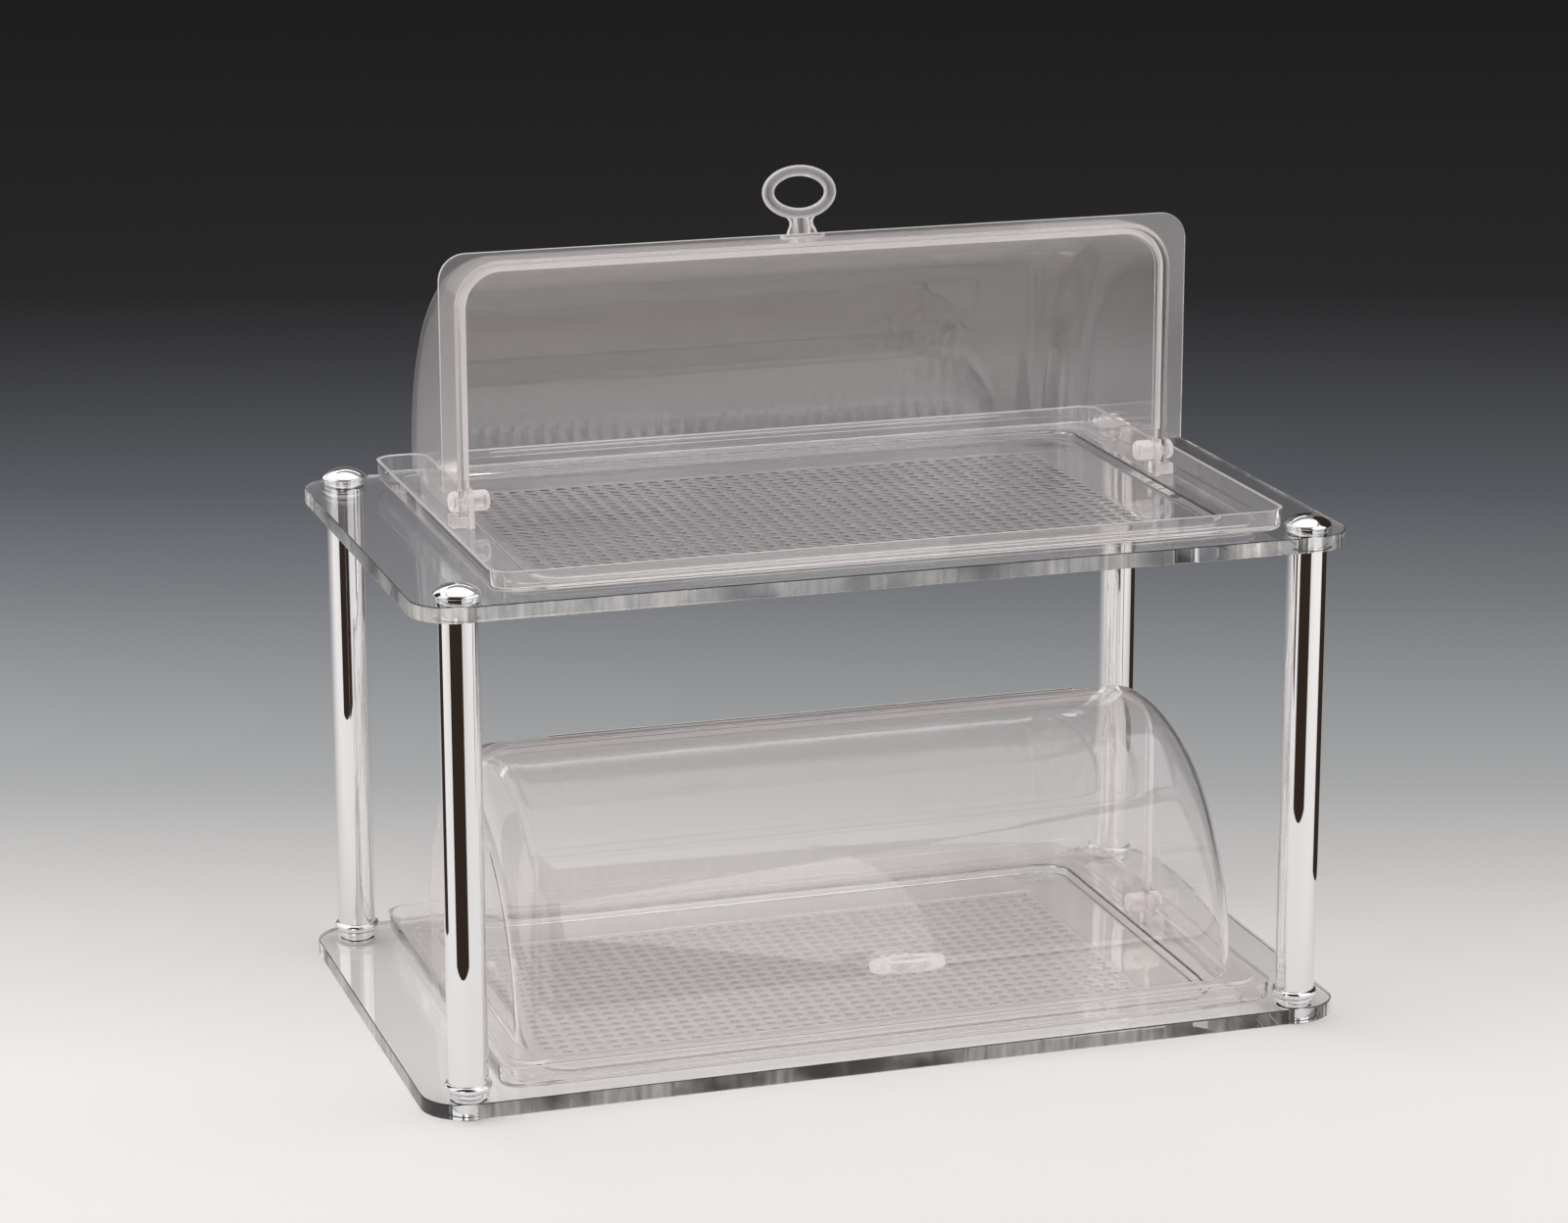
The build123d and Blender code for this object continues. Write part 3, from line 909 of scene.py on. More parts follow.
# ---- Sub-assemblies ----------------------------------------------------------------------
@dataclass
class Stand:
    """The two plates and the four posts."""

    setback: float = field(default_factory=lambda: sum(c.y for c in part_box("base_plate")) / 2)
    half_width: float = 300.0 * MM
    half_depth: float = 175.0 * MM
    corner: float = 28.0 * MM
    edge_round: float = 0.8 * MM
    spigot_radius: float = 10.0 * MM
    foot_chamfer: float = 1.0 * MM
    disc_round: float = 0.35 * MM
    ring_overlap: float = 0.2 * MM
    ring_facets: int = 10
    tube_wall: float = 1.5 * MM
    tube_round: float = 0.3 * MM
    brim_height: float = 1.6 * MM
    brim_rounds: Pair = (0.4 * MM, 0.2 * MM)
    crown_facets: int = 10
    crown_flat: float = 0.3 * MM
    acrylic: SheetFinish = SheetFinish(
        "polished_acrylic", (0.985, 0.99, 0.988), 1.49, 0.0, 0.00001, 0.0
    )
    chrome: ChromeFinish = ChromeFinish("mirror_chrome", (0.86, 0.86, 0.87), 0.02)
    rod: PlainFinish = PlainFinish("zinc_rod", (0.55, 0.55, 0.54), 1.0, 0.35)
    plug: PlainFinish = PlainFinish("black_nylon", (0.02, 0.02, 0.02), 0.0, 0.6)

    def build(self) -> None:
        """Models the plates and the posts and dresses what stays."""
        self.make_plates()
        self.make_posts()
        plug = self.plug.material()
        for plugs in ("lower_tube_plugs", "upper_tube_plugs"):
            dress(plugs, plug)

    def make_plates(self) -> None:
        """Models both plates, with polished rounds along their edges."""
        acrylic = self.acrylic.material()
        for node in ("base_plate", "shelf_plate"):
            low, high = (corner.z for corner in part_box(node))
            whole = Outline(self.half_width, self.half_depth, self.corner, low)
            rise = rounding(self.edge_round, 0.0, low, low + self.edge_round)
            sections = rise + [(inset, low + high - z) for inset, z in reversed(rise)]
            outlines = [whole.inward(i, i, self.corner - i, z) for i, z in sections]
            plate = Workbench.terraced(f"{node}_sheet", outlines)
            plate.tidy().place((0.0, self.setback, 0.0))
            plate.fit(node, "stand", "clear_acrylic", acrylic)

    def make_posts(self) -> None:
        """Models one post's chromed pieces and copies them to the four corners."""
        chrome, rod = self.chrome.material(), self.rod.material()
        patterns = {
            "foot": self.foot(),
            "base_disc": self.disc("base_disc"),
            "base_ring": self.ring(),
            "tube": self.tube(),
            "cap_disc": self.disc("cap_disc"),
            "dome_cap": self.dome_cap(),
        }
        for post in ("front_left", "front_right", "rear_left", "rear_right"):
            low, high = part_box(f"{post}_tube")
            for kind, pattern in patterns.items():
                piece = pattern.copy(f"{post}_{kind}_turned")
                piece.place(((low.x + high.x) / 2, (low.y + high.y) / 2, 0.0))
                piece.fit(f"{post}_{kind}", "stand", "chrome", chrome)
            dress(f"{post}_tie_rod", rod)
        for pattern in patterns.values():
            pattern.scrap()

    @staticmethod
    def sizes(kind: str) -> Point:
        """Radius, bottom and top of a post's piece."""
        low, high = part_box(f"front_left_{kind}")
        return (high.x - low.x) / 2, low.z, high.z

    def foot(self) -> Workbench:
        """The chamfered foot with its spigot up through the plate.

        Returns:
            The closed pattern.
        """
        radius, low, top = self.sizes("foot")
        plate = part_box("base_plate")[0].z
        edge = rounding(radius - self.foot_chamfer, radius, low, low + self.foot_chamfer, 2)
        spigot = [(radius, plate), (self.spigot_radius, plate), (self.spigot_radius, top)]
        return Workbench.turned("foot", edge + spigot).tidy()

    def disc(self, kind: str) -> Workbench:
        """A plain disc with eased edges.

        Args:
            kind: The piece of the post that it stands for.

        Returns:
            The closed pattern.
        """
        radius, low, high = self.sizes(kind)
        rise = rounding(radius - self.disc_round, radius, low, low + self.disc_round, 2)
        fall = [(r, low + high - z) for r, z in reversed(rise)]
        return Workbench.turned(kind, rise + fall).tidy()

    def ring(self) -> Workbench:
        """The round-backed ring at the tube's foot.

        Returns:
            The closed pattern.
        """
        radius, low, high = self.sizes("base_ring")
        inner = self.sizes("tube")[0] - self.ring_overlap
        back = []
        for step in range(self.ring_facets + 1):
            angle = math.pi * step / self.ring_facets
            z = low + (high - low) * (1 - math.cos(angle)) / 2
            back.append((inner + (radius - inner) * math.sin(angle), z))
        return Workbench.turned("base_ring", back).tidy(60.0)

    def tube(self) -> Workbench:
        """The polished tube, open at both ends.

        Returns:
            The closed pattern.
        """
        tube = Workbench.bar("tube", *self.sizes("tube"), 96, 0.0)
        tube.edit()
        tube.pierce("z", self.tube_wall)
        tube.soften(self.tube_round)
        return tube.tidy()

    def dome_cap(self) -> Workbench:
        """The mushroom cap with its spigot down through the shelf.

        Returns:
            The closed pattern.
        """
        radius, low, top = self.sizes("dome_cap")
        brim = self.sizes("cap_disc")[2]
        edge = brim + self.brim_height
        crown = top - edge
        sphere = (radius**2 + crown**2) / (2 * crown)
        widest = math.asin(radius / sphere)
        under, over = self.brim_rounds
        profile = [(self.spigot_radius, low), (self.spigot_radius, brim), (radius - under, brim)]
        profile += [(radius, brim + under), (radius, edge - over)]
        for step in range(1, self.crown_facets):
            angle = widest * (1 - step / self.crown_facets)
            profile.append((sphere * math.sin(angle), top - sphere * (1 - math.cos(angle))))
        profile.append((self.crown_flat, top))
        return Workbench.turned("dome_cap", profile).tidy(50.0)


class Tier(Enum):
    """Where a bin stands."""

    LOWER = "lower"
    UPPER = "upper"


@dataclass
class BreadBins:
    """Both bins: in each a tray, two nested covers, a ring handle and two hinges."""

    pivot: float = 22.5 * MM
    tray_half_width: float = 254.0 * MM
    tray_half_depth: float = 161.5 * MM
    tray_corner: float = 14.0 * MM
    seat_gap: float = 0.12 * MM
    basin_floor: float = 2.5 * MM
    rim_level: float = 17.0 * MM
    stud_middle: Pair = (-15.5 * MM, -9.0 * MM)
    stud_counts: tuple[int, int] = (38, 22)
    stud_pitch: Pair = (10.4 * MM, 9.8 * MM)
    stud_size: Pair = (6.4 * MM, 5.0 * MM)
    stud_flank: float = 1.0 * MM
    stud_height: float = 0.6 * MM
    bead_margins: Pair = (2.0 * MM, 3.2 * MM)
    moving_radius: float = 150.5 * MM
    moving_half_width: float = 236.0 * MM
    moving_round: float = 30.0 * MM
    rear_reach: float = 8.1 * MM
    flange_reach: float = 156.5 * MM
    flange_half_width: float = 246.0 * MM
    flange_corner: float = 17.0 * MM
    flange_drop: float = 5.5 * MM
    flange_end: float = 8.0 * MM
    rib_half: float = 178.0 * MM
    rib_depth: float = 3.5 * MM
    rib_proud: float = 0.9 * MM
    fixed_radius: float = 146.0 * MM
    fixed_half_width: float = 231.0 * MM
    fixed_round: float = 25.5 * MM
    front_reach: float = 2.5 * MM
    ledge_drop: float = 16.0 * MM
    lip_depth: float = 4.1 * MM
    lip_foot: float = 14.0 * MM
    lip_rise: float = 1.5 * MM
    leg_inside: float = 227.0 * MM
    leg_radius: float = 9.0 * MM
    tab_inside: float = 230.0 * MM
    tab_reach: float = 10.0 * MM
    tab_half_depth: float = 6.0 * MM
    tab_top: float = -8.6 * MM
    shell_wall: float = 2.5 * MM
    small_round: float = 0.6 * MM
    pin_radius: float = 2.9 * MM
    pin_length: float = 15.5 * MM
    pin_gap: float = 0.15 * MM
    pin_head: float = 5.0 * MM
    eye_reach: float = 240.0 * MM
    bore_play: float = 0.2 * MM
    knob_radius: float = 6.5 * MM
    knob_round: float = 2.6 * MM
    knob_ease: float = 0.4 * MM
    washer_span: Pair = (0.1 * MM, 2.3 * MM)
    washer_round: float = 0.3 * MM
    nut_face: float = 226.9 * MM
    nut_length: float = 11.0 * MM
    nut_bore: float = 7.0 * MM
    handle_angle: float = 13.0
    handle_rise: float = 29.0 * MM
    handle_half_size: Pair = (24.0 * MM, 17.0 * MM)
    handle_half_depth: float = 4.0 * MM
    handle_bar: float = 6.8 * MM
    handle_round: float = 2.4 * MM
    neck_half_width: float = 10.0 * MM
    neck_half_depth: float = 3.0 * MM
    neck_span: Pair = (1.2 * MM, 15.0 * MM)
    neck_waists: tuple[Pair, ...] = ((0.3, 0.86), (0.5, 0.8), (0.7, 0.86))
    neck_cuts: tuple[float, ...] = (1.5 * MM, 4.0 * MM, 6.5 * MM)
    neck_groove: float = 0.45
    handle_foot: Pair = (14.0 * MM, 6.0 * MM)
    handle_foot_span: Pair = (0.12 * MM, 2.5 * MM)
    handle_foot_corner: float = 4.0 * MM
    # In each clear finish below, the number after the veil is the share of a painted highlight
    # where the plastic is seen edge on, and the next one is how narrow it is.
    frosted: ClearFinish = ClearFinish(
        "frosted_plastic", (0.97, 0.95, 0.945), 1.5, 0.08, 0.00005, 0.085, 0.9
    )
    moulded: ClearFinish = ClearFinish(
        "moulded_plastic", (0.980, 0.970, 0.967), 1.58, 0.0, 0.0002, 0.003, 0.38, 6.0
    )
    # Painted highlight: a paler, more scattering copy of the plastic for the rims; it stands for
    # some scatter where they are seen edge on, and paints bright lines along them.
    edge: ClearFinish = ClearFinish(
        "rim_painted_highlight", (0.94, 0.89, 0.897), 1.5, 0.1, 0.00002, 0.36, 0.75
    )
    # The rear covers also get a painted lighter band over their lower part.
    hazy: ClearFinish = ClearFinish(
        "hazy_plastic", (0.978, 0.964, 0.961), 1.58, 0.0, 0.0002, 0.03, 0.4, 7.0, 0.05
    )
    # Painted highlight: the pale shader is mixed in over most of the handles and hinge parts, seen
    # at almost any angle, so that they look white.
    bright: ClearFinish = ClearFinish(
        "plastic_painted_bright", (0.985, 0.98, 0.98), 1.58, 0.0, 0.0001, 0.06, 1.0, 0.8
    )

    def build(self) -> None:
        """Models each pattern once and fits its copies to both tiers."""
        clear, hazy, bright = (f.material() for f in (self.moulded, self.hazy, self.bright))
        frosted, edge = self.frosted.material(), self.edge.material()
        finishes = {"front_cover": (clear, (frosted, edge)), "rear_cover": (hazy, (edge,))}
        tray = self.tray()
        patterns = {
            ("rear_cover", "fixed_cover"): self.rear_cover(),
            ("front_cover", "moving_cover"): self.front_cover(),
            ("handle", "moving_cover"): self.handle(),
            ("right_hinge_pin", "fixed_cover"): self.hinge_pin(),
            ("right_hinge_washer", "fixed_cover"): self.hinge_washer(),
            ("right_hinge_nut", "fixed_cover"): self.hinge_nut(),
        }
        for tier in Tier:
            low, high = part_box(f"{tier.value}_tray")
            middle = ((low.x + high.x) / 2, (low.y + high.y) / 2)
            node = f"{tier.value}_tray"
            piece = tray.copy(f"{node}_moulding").place((*middle, low.z))
            piece.fit(node, f"{tier.value}_bin_tray", "clear_plastic", clear, (edge,))
            axis = (*middle, low.z + self.pivot)
            for (kind, body), pattern in patterns.items():
                swung = -90.0 if tier is Tier.UPPER and body == "moving_cover" else 0.0
                finish, others = finishes.get(kind, (bright, ()))
                for side in ("right", "left") if "right" in kind else ("",):
                    node = f"{tier.value}_{kind.replace('right', side)}"
                    piece = pattern.copy(f"{node}_moulding", side == "left").place(axis, swung)
                    piece.fit(node, f"{tier.value}_{body}", "clear_plastic", finish, others)
        for pattern in (tray, *patterns.values()):
            pattern.scrap()

    def tray(self) -> Workbench:
        """The tray: a drafted rim, a channel, a shallow basin and a hollow foot.

        Returns:
            The closed pattern.
        """
        whole = Outline(self.tray_half_width, self.tray_half_depth, self.tray_corner, 0.0)

        def level(side: float, front: float, corner: float, z: float) -> Outline:
            """An outline inside the tray's, with its sizes in millimetres."""
            return whole.inward(side * MM, front * MM, corner * MM, max(z * MM, self.seat_gap))

        skin = [level(32, 22, 18.5, 0), level(29.5, 19.5, 21, 4), level(14.5, 14.5, 13.5, 4)]
        skin += [level(14.5, 14.5, 13.5, 0), level(12, 12, 16, 0), level(12, 12, 16, 4)]
        rim = rounding(4.2, 1.0, 4.0, 7.0, 5) + rounding(0.0, 0.7, 17.5, 16.8)[::-1]
        rim += rounding(1.8, 2.5, 17.5, 16.8) + rounding(4.8, 3.6, 6.5, 7.7)[::-1]
        skin += [level(inset, inset, 14.0 - inset, z) for inset, z in rim]
        basin = rounding(29.3, 31.0, 6.5, 6.0, 2) + rounding(36.0, 33.8, 2.5, 3.2)[::-1]
        skin += [level(inset, inset - 10, 50.5 - inset, z) for inset, z in basin]
        tray = Workbench.terraced("tray", skin)
        self.stud_floor(tray)
        tray.tidy(32.0)
        # The rim's top faces get the paler copy of the plastic, which paints a bright line along
        # the rim.
        tray.part(
            lambda face: face.normal.z > 0.5 and face.calc_center_median().z > self.rim_level
        )
        return tray

    def stud_floor(self, tray: Workbench) -> None:
        """Raises the grid of low oblong studs on the basin's floor, and the bead round it.

        Args:
            tray: The tray, in edit mode.
        """
        halves = [count * pitch / 2 for count, pitch in zip(self.stud_counts, self.stud_pitch)]
        inner, outer = self.bead_margins

        def on_floor(face: Face) -> bool:
            """Whether the face is a part of the basin's floor."""
            height = face.calc_center_median().z
            return face.normal.z > FLAT and abs(height - self.basin_floor) < 0.01 * MM

        def within(face: Face, margin: float = inner) -> bool:
            """Whether the face is on the floor, and in the studded field widened by a margin."""
            places = zip(face.calc_center_median(), self.stud_middle, halves)
            return on_floor(face) and all(abs(x - mid) < half + margin for x, mid, half in places)

        studs = []
        for axis, half in enumerate(halves):
            middle, pitch = self.stud_middle[axis], self.stud_pitch[axis]
            for reach in (half + margin for margin in self.bead_margins):
                tray.cut(axis, middle - reach, among=on_floor)
                tray.cut(axis, middle + reach, among=on_floor)
            steps = range(self.stud_counts[axis])
            studs.append([middle - half + pitch * (step + 0.5) for step in steps])
        tray.pick("faces", lambda face: within(face, outer) and not within(face))
        tray.extrude((0.0, 0.0, self.stud_height / 2))
        for axis, places in enumerate(studs):
            for place in places:
                tray.cut(axis, place - self.stud_size[axis] / 2, among=within)
                tray.cut(axis, place + self.stud_size[axis] / 2, among=within)

        def on_stud(face: Face) -> bool:
            """Whether the face is where a stud stands."""
            places = zip(face.calc_center_median(), studs)
            return within(face) and all(
                min(abs(at - stud) for stud in row) < 0.01 * MM for at, row in places
            )

        tray.pick("faces", on_stud)
        tray.inset(self.stud_flank, self.stud_height)

    @staticmethod
    def drum(name: str, radius: float, half_width: float, rim: float, drop: float) -> Workbench:
        """Half a drum about the hinge axis, with rounded rims, on straight walls.

        Args:
            name: The pattern's name.
            radius: The drum's radius.
            half_width: Half its length.
            rim: The round between its ends and its barrel.
            drop: How far the straight walls reach below the axis.

        Returns:
            The open skin, in edit mode.
        """
        skin = Workbench.bar(name, radius, -half_width, half_width, 128)
        skin.edit()
        skin.pick("edges", lambda edge: edge.verts[0].co.x * edge.verts[1].co.x > 0)
        skin.bevel(rim, 12)
        skin.cut(2, 0.0, -1)
        skin.pick("edges", lambda edge: edge.is_boundary)
        skin.extrude((0.0, 0.0, -drop))
        return skin

    def bore_eyes(self, skin: Workbench, play: float) -> None:
        """Bores a cover's two end walls for the pins, with some play round them."""
        eyes = Workbench.bar("eyes", self.pin_radius + play, -self.eye_reach, self.eye_reach, 32)
        skin.combine(eyes, "DIFFERENCE")

    def front_cover(self) -> Workbench:
        """The closed front cover: a quarter barrel with a flange, a catch rib and two eyes.

        Returns:
            The closed pattern.
        """
        flange_top = self.flange_drop - self.shell_wall
        skin = self.drum(
            "front_cover", self.moving_radius, self.moving_half_width, self.moving_round, flange_top
        )
        skin.cut(1, self.rear_reach, 1)
        skin.cut(1, -self.flange_end)

        def lowest(edge: bmesh.types.BMEdge, side: int) -> bool:
            """Whether the edge is on the lower rim, behind (1) or before (-1) the flange's end."""
            ends = [(side * (v.co.y + self.flange_end), v.co.z + flange_top) for v in edge.verts]
            return edge.is_boundary and all(y > -SAME and z < SAME for y, z in ends)

        skin.pick("edges", lambda edge: lowest(edge, 1))
        skin.extrude((0.0, 0.0, -self.shell_wall))
        skin.pick(
            "edges",
            lambda edge: lowest(edge, -1) and all(v.co.z > -SAME - flange_top for v in edge.verts),
        )
        skin.extrude((0.0, 0.0, 0.0))
        self.spread_flange(skin)
        skin.wall(self.shell_wall)
        skin.soften(self.small_round, 3)
        rib = Workbench.block(
            "rib",
            (-self.rib_half, self.rear_reach - self.rib_depth, self.moving_radius - self.rib_depth),
            (self.rib_half, self.rear_reach + 0.02 * MM, self.moving_radius + self.rib_proud),
        )
        rib.soften(self.small_round)
        skin.combine(rib, "UNION")
        self.bore_eyes(skin, 0.3 * MM)
        skin.tidy()
        self.part_flange(skin)
        return skin

    def part_flange(self, skin: Workbench) -> None:
        """Gives the flange's faces and its rim their own material slots.

        Args:
            skin: The closed front cover.
        """
        above = 0.2 * MM
        top = above - self.flange_drop + self.shell_wall

        def on_flange(face: Face) -> bool:
            """Whether the face belongs to the flange."""
            return all(v.co.z < top and v.co.y < above - self.flange_end for v in face.verts)

        skin.part(on_flange)
        # The flange's rim faces get the paler copy of the plastic, which paints bright lines along
        # them.
        skin.part(lambda face: on_flange(face) and abs(face.normal.z) < 0.5)

    def spread_flange(self, skin: Workbench) -> None:
        """Draws the selected lower rim out to the flange's outline.

        Args:
            skin: The front cover's skin, whose new rim is selected.
        """
        rim = skin.picked()
        arc_y = self.moving_round - self.moving_radius
        turn = arc_y + 10 * SAME
        ratio = self.flange_corner / self.moving_round
        for side in (-1, 1):
            arc_x = side * (self.moving_half_width - self.moving_round)
            new_x = side * (self.flange_half_width - self.flange_corner)
            skin.pick("verts", lambda v: v.index in rim and v.co.x * side > 0 and v.co.y > turn)
            skin.move((side * (self.flange_half_width - self.moving_half_width), 0.0, 0.0))
            skin.pick("verts", lambda v: v.index in rim and v.co.x * side > 0 and v.co.y <= turn)
            skin.resize((ratio, ratio, 1.0), (arc_x, arc_y, 0.0))
            skin.move((new_x - arc_x, self.flange_corner - self.flange_reach - arc_y, 0.0))

    def rear_cover(self) -> Workbench:
        """The rear cover: a quarter barrel on straight walls, with a lip, two legs and stop tabs.

        Returns:
            The closed pattern.
        """
        half_width = self.fixed_half_width
        skin = self.drum(
            "rear_cover", self.fixed_radius, half_width, self.fixed_round, self.ledge_drop
        )
        skin.cut(1, -self.front_reach, -1)
        skin.cut(1, self.lip_depth)
        skin.cut(2, self.lip_foot, among=lambda face: face.calc_center_median().y < self.lip_depth)
        skin.wall(self.shell_wall)
        skin.edit()

        def on_lip(face: Face) -> bool:
            """Whether the face is on the outside of the front strip.

            Args:
                face: The face.

            Returns:
                True where it is.
            """
            at = face.calc_center_median()
            out = Vector((math.copysign(1.0, at.x), *Vector((at.y, at.z)).normalized()))
            return at.z > self.lip_foot and at.y < self.lip_depth and face.normal.dot(out) > 0.5

        skin.pick("faces", on_lip)
        rise = {"value": self.lip_rise}
        bpy.ops.mesh.extrude_region_shrink_fatten(TRANSFORM_OT_shrink_fatten=rise)
        skin.soften(0.5 * MM, 2, 50.0)
        for side in (-1, 1):
            self.add_leg(skin, side)
        self.bore_eyes(skin, self.bore_play)
        skin.tidy()
        # The lip's front faces get the paler copy of the plastic, which paints a bright line along
        # them.
        lip = 0.3 * MM - self.front_reach
        skin.part(lambda face: face.normal.y < -0.7 and face.calc_center_median().y < lip)
        return skin

    def add_leg(self, skin: Workbench, side: int) -> None:
        """Joins a round-topped leg and its stop tab to the rear cover.

        Args:
            skin: The rear cover.
            side: -1 for the left end and 1 for the right.
        """
        foot, top = 0.1 * MM - self.ledge_drop, self.leg_radius
        leg = Workbench.end_block(
            "leg", side, (self.leg_inside, self.fixed_half_width - 0.4 * MM), top, (foot, top)
        )
        leg.edit()
        leg.pick("edges", lambda edge: all(
            v.co.z > top - 0.1 * MM and v.co.y * edge.verts[0].co.y > 0 for v in edge.verts
        ))
        leg.bevel(top - 0.05 * MM, 8)
        tab = Workbench.end_block(
            "tab", side, (self.tab_inside, self.fixed_half_width + self.tab_reach),
            self.tab_half_depth, (foot + 0.1 * MM, self.tab_top),
        )
        tab.soften(self.small_round)
        leg.soften(0.4 * MM)
        leg.combine(tab, "UNION")
        skin.combine(leg, "UNION")

    def handle(self) -> Workbench:
        """The oval ring handle on its waisted neck and its foot.

        Returns:
            The closed pattern.
        """
        half_width, half_height = self.handle_half_size
        depth = self.handle_half_depth
        ring = Workbench.bar("handle", half_width, -depth, depth, 72, 0.0)
        ring.edit()
        bpy.ops.mesh.select_all(action="SELECT")
        ring.resize((1.0, half_height / half_width, 1.0), (0.0, 0.0, 0.0))
        ring.pierce("z", self.handle_bar)
        ring.soften(self.handle_round, 4)
        ring.place((0.0, self.moving_radius + self.handle_rise, 0.0))
        ring.combine(self.handle_neck(), "UNION")
        width, depth = self.handle_foot
        low, high = (self.moving_radius + rise for rise in self.handle_foot_span)
        foot = Workbench.block("foot", (-width, low, -depth), (width, high, depth))
        foot.edit()
        foot.pick("edges", lambda edge: abs(edge.verts[0].co.y - edge.verts[1].co.y) > SAME)
        foot.bevel(self.handle_foot_corner, 6)
        foot.soften(0.7 * MM)
        ring.combine(foot, "UNION")
        ring.tidy().place((0.0, 0.0, 0.0), 180.0 - self.handle_angle)
        return ring

    def handle_neck(self) -> Workbench:
        """The neck, waisted from the front and grooved along both faces.

        Returns:
            The closed neck.
        """
        width, depth = self.neck_half_width, self.neck_half_depth
        low, high = (self.moving_radius + rise for rise in self.neck_span)
        neck = Workbench.block("neck", (-width, low, -depth), (width, high, depth))
        neck.edit()
        for share, waist in self.neck_waists:
            y = low + (high - low) * share
            neck.cut(1, y)
            neck.pick("verts", lambda vert: abs(vert.co.y - y) < SAME)
            neck.resize((waist, 1.0, 1.0), (0.0, y, 0.0))
        for x in self.neck_cuts:
            neck.cut(0, -x)
            neck.cut(0, x)
        neck.pick("verts", lambda vert: abs(abs(vert.co.x) - self.neck_cuts[1]) < SAME)
        neck.resize((1.0, 1.0, self.neck_groove), (0.0, 0.0, 0.0))
        neck.soften(0.5 * MM)
        return neck

    def knob(self, name: str, flat: float, tip: float, radius: float, by: float) -> Workbench:
        """A round knob along the hinge axis with a rounded tip, and a shank or a blind bore.

        Args:
            name: The pattern's name.
            flat: The x of its flat face.
            tip: The x of its rounded end.
            radius: The radius of the shank or bore in its flat face.
            by: How far along x the shank or bore goes.

        Returns:
            The closed pattern.
        """
        knob = Workbench.bar(name, self.knob_radius, min(flat, tip), max(flat, tip))
        knob.edit()
        for end, offset, facets in ((tip, self.knob_round, 5), (flat, self.knob_ease, 2)):
            knob.pick("edges", lambda edge: all(abs(v.co.x - end) < SAME for v in edge.verts))
            knob.bevel(offset, facets)
        out = math.copysign(1.0, flat - tip)
        knob.pick("faces", lambda face: face.normal.x * out > 0.99)
        knob.inset(self.knob_radius - self.knob_ease - radius)
        knob.extrude((by, 0.0, 0.0))
        return knob.tidy()

    def hinge_pin(self) -> Workbench:
        """The pin: a domed head outside the front cover and a shank."""
        head = self.moving_half_width + self.pin_gap
        return self.knob("hinge_pin", head, head + self.pin_head, self.pin_radius, -self.pin_length)

    def hinge_nut(self) -> Workbench:
        """The domed nut inside the rear cover's leg, with its blind bore."""
        face, bore = self.nut_face, self.pin_radius + self.bore_play
        return self.knob("hinge_nut", face, face - self.nut_length, bore, -self.nut_bore)

    def hinge_washer(self) -> Workbench:
        """The washer between the two covers' end walls.

        Returns:
            The closed pattern.
        """
        span = [self.fixed_half_width + gap for gap in self.washer_span]
        washer = Workbench.bar("hinge_washer", self.knob_radius, *span)
        washer.edit()
        washer.pierce("x", self.knob_radius - self.pin_radius - self.bore_play)
        washer.soften(self.washer_round)
        return washer.tidy()


# ---- Studio ------------------------------------------------------------------------------
@dataclass(frozen=True)
class SoftPanel:
    """A large soft lamp beside or above the display.

    Attributes:
        name: The lamp's name.
        centre: Its middle, along the view's right, the view's depth and up.
        size: Its width and height.
        radiance: How bright it looks in a mirror.
    """

    name: str
    centre: Point
    size: Pair
    radiance: float


@dataclass(frozen=True)
class DarkCard:
    """A dark card near a post that only mirrors see: a painted reflection, which the chrome shows
    as a band.

    Attributes:
        post: The post.
        turns: Its edges as seen from the post, in degrees to the right of the viewer.
        reach: How far its edges are from the post.
        foot: How high its lower edge is.
    """

    post: str
    turns: Pair
    reach: float
    foot: float


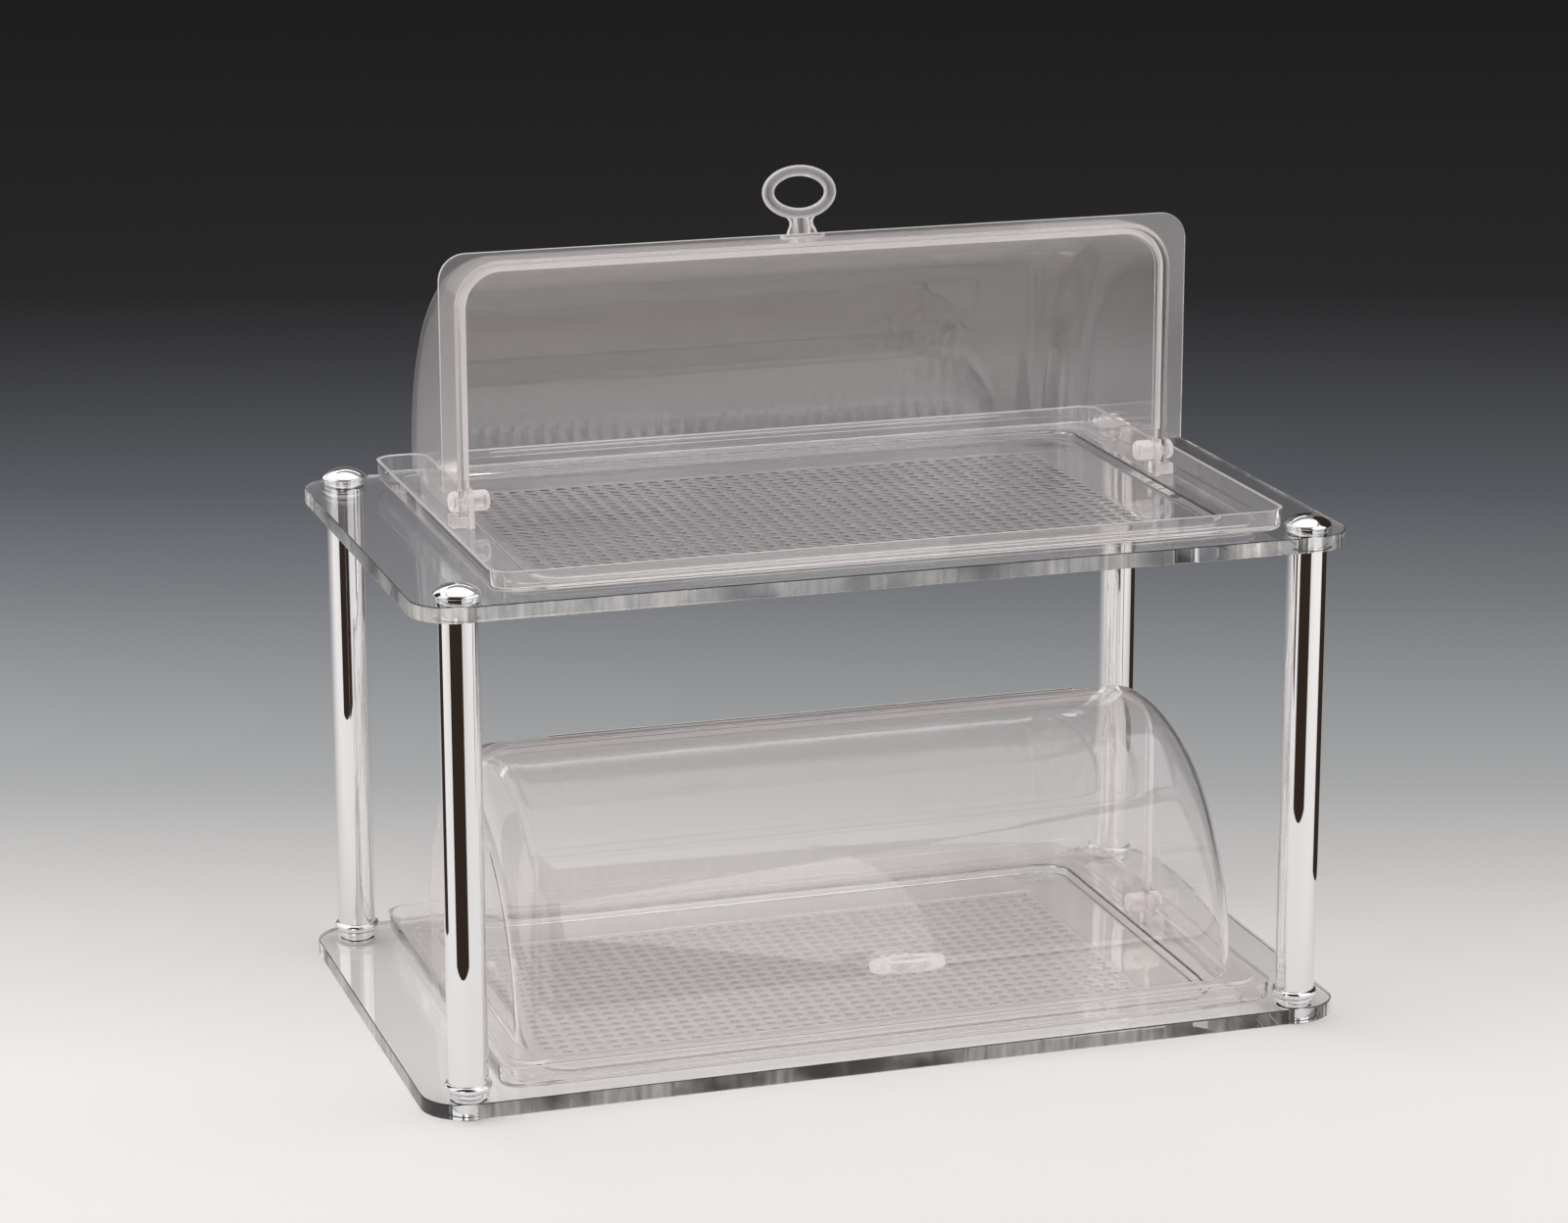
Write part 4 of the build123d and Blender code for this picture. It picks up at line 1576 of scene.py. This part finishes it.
@dataclass
class Studio:
    """The floor, the lamps, the world and the camera."""

    target: Vector = field(default_factory=lambda: Vector((0.0, 0.0, 0.2)))
    ambient: float = 0.30
    panels: tuple[SoftPanel, ...] = (
        SoftPanel("right_panel", (1.25, -0.45, 0.80), (2.4, 1.6), 1.0),
        SoftPanel("left_panel", (-1.25, 0.15, 0.80), (2.4, 1.6), 0.9),
        SoftPanel("left_strip", (-0.62, -1.15, 0.60), (0.5, 1.2), 1.2),
        SoftPanel("top_panel", (0.0, 0.1, 2.0), (2.2, 1.8), 1.0),
        SoftPanel("back_strip", (-0.35, 1.1, 1.35), (1.6, 0.10), 2.2),
    )
    room_stops: Stops = (
        (0.10, (124, 120, 121)),
        (0.30, (138, 134, 135)),
        (0.42, (76, 70, 70)),
        (0.62, (134, 130, 131)),
        (0.90, (165, 162, 162)),
    )
    # Painted pool of light: the floor's colour is pale near the display and darkens away from it.
    floor_painted_pool: FloorFinish = FloorFinish("floor_with_painted_pool", (
        (0.20, (248, 245, 243)),
        (0.47, (228, 224, 221)),
        (0.81, (179, 180, 181)),
        (1.39, (134, 137, 142)),
        (1.76, (107, 111, 118)),
        (2.75, (51, 50, 53)),
        (5.30, (17, 13, 13)),
    ))
    # Painted reflection: dark cards that only mirrors see, fitted round the posts so that the
    # chrome shows dark bands.
    dark: CardFinish = CardFinish("painted_reflection_card", (52, 42, 36))
    cards: tuple[DarkCard, ...] = (
        DarkCard("front_left", (-45.0, 22.0), 0.15, 0.05),
        DarkCard("front_left", (-130.0, -96.0), 0.21, 0.05),
        DarkCard("front_right", (-41.0, 20.0), 0.235, 0.075),
        DarkCard("front_right", (90.0, 160.0), 0.15, 0.056),
        DarkCard("rear_left", (-39.0, -2.0), 0.27, 0.094),
        DarkCard("rear_right", (94.0, 160.0), 0.15, 0.056),
    )
    card_top: float = 0.5
    floor_size: float = 40.0
    floor_gap: float = 0.2 * MM
    lens: float = 101.535
    viewpoint: Point = (-0.84995, -2.59855, 0.98936)
    view_right: Point = (0.95291899, -0.30321685, -0.00222401)
    view_forward: Point = (0.29232959, 0.92060265, -0.25890959)

    def build(self) -> None:
        """Sets up everything round the display."""
        self.make_floor()
        self.make_world()
        for panel in self.panels:
            self.make_panel(panel)
        for card in self.cards:
            self.make_card(card)
        self.make_camera()

    @staticmethod
    def lay_sheet(name: str, size: float, z: float, finish: Finish) -> bpy.types.Object:
        """Lays a square sheet of the stage round the origin.

        Args:
            name: The sheet's name.
            size: The length of its sides.
            z: Its height.
            finish: Its finish.

        Returns:
            The sheet.
        """
        bpy.ops.object.select_all(action="DESELECT")
        bpy.ops.mesh.primitive_plane_add(size=size, location=(0.0, 0.0, z))
        sheet = bpy.context.active_object
        sheet.name = name
        sheet.data.materials.append(finish.material())
        return sheet

    def make_floor(self) -> None:
        """Lays the pale floor, whose colour darkens far away as a painted pool of light."""
        self.lay_sheet("studio_floor", self.floor_size, -self.floor_gap, self.floor_painted_pool)
        LOG.info("laid the floor")

    def make_world(self) -> None:
        """Gives the room an even pale light, and another, graded look in mirrors and glass."""
        world = bpy.data.worlds.new("studio_room")
        world.use_nodes = True
        graph = Graph(world.node_tree)
        diffuse = Value(graph, graph.node("ShaderNodeLightPath").outputs["Is Diffuse Ray"])
        even = graph.result("Background", {"Color": (1, 1, 1, 1), "Strength": self.ambient})
        _, _, up = graph.axes(graph.node("ShaderNodeTexCoord").outputs["Generated"])
        graded = graph.result("Background", {"Color": graph.ramp(self.room_stops, up)})
        graph.node("ShaderNodeOutputWorld", inputs={"Surface": graph.mix(diffuse, graded, even)})
        bpy.context.scene.world = world

    def make_panel(self, panel: SoftPanel) -> None:
        """Hangs one soft lamp so that it faces the display.

        Args:
            panel: The lamp's place, size and level.
        """
        lamp = bpy.data.lights.new(panel.name, "AREA")
        lamp.shape = "RECTANGLE"
        lamp.size, lamp.size_y = panel.size
        lamp.energy = panel.radiance * math.pi * panel.size[0] * panel.size[1]
        hung = bpy.data.objects.new(panel.name, lamp)
        across, depth, up = panel.centre
        hung.location = ACROSS * across + DEPTH_AXIS * depth + Vector((0.0, 0.0, up))
        toward = self.target - hung.location
        hung.rotation_euler = toward.to_track_quat("-Z", "Y").to_euler()
        hung.visible_camera = False
        bpy.context.scene.collection.objects.link(hung)
        LOG.info("hung %s", panel.name)

    def make_card(self, card: DarkCard) -> None:
        """Hangs one dark card, which only mirrors see: a painted reflection in the chrome.

        Args:
            card: The card's place.
        """
        low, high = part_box(f"{card.post}_tube")
        foot = (low + high) / 2
        foot.z = card.foot
        edges = []
        for turn in (math.radians(turn) for turn in card.turns):
            shown = ACROSS * math.sin(turn) - DEPTH_AXIS * math.cos(turn)
            edges.append(foot + shown * card.reach)
        hung = self.lay_sheet("painted_reflection_card", 1.0, 0.0, self.dark)
        rise = Vector((0.0, 0.0, self.card_top - card.foot))
        for vert, corner in zip(hung.data.vertices, (*edges, edges[0] + rise, edges[1] + rise)):
            vert.co = corner
        hung.visible_camera = hung.visible_diffuse = False
        hung.visible_shadow = hung.visible_transmission = False

    def make_camera(self) -> None:
        """Stands the camera in front and to the left, looking a little down."""
        lens = bpy.data.cameras.new("view")
        lens.sensor_width = 36.0
        lens.lens = self.lens
        lens.clip_end = 100.0
        right, forward = Vector(self.view_right), Vector(self.view_forward)
        turn = Matrix((right, right.cross(forward), -forward)).transposed()
        camera = bpy.data.objects.new("view", lens)
        camera.matrix_world = Matrix.Translation(self.viewpoint) @ turn.to_4x4()
        bpy.context.scene.collection.objects.link(camera)
        bpy.context.scene.camera = camera


def set_rays(passes: int = 40, mirrors: int = 8) -> None:
    """Lets a ray pass all the walls of the nested covers and the plates.

    Args:
        passes: How many walls a ray can pass.
        mirrors: How many mirrors it can follow.
    """
    cycles = bpy.context.scene.cycles
    cycles.max_bounces = cycles.transmission_bounces = passes
    cycles.transparent_max_bounces = passes
    cycles.glossy_bounces = mirrors
    bpy.context.scene.view_settings.view_transform = "Standard"


def main() -> None:
    """Builds the display and its studio."""
    logging.basicConfig(level=logging.INFO, format="%(name)s: %(message)s")
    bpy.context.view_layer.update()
    set_rays()
    Stand().build()
    BreadBins().build()
    Studio().build()


if __name__ == "__main__":
    main()
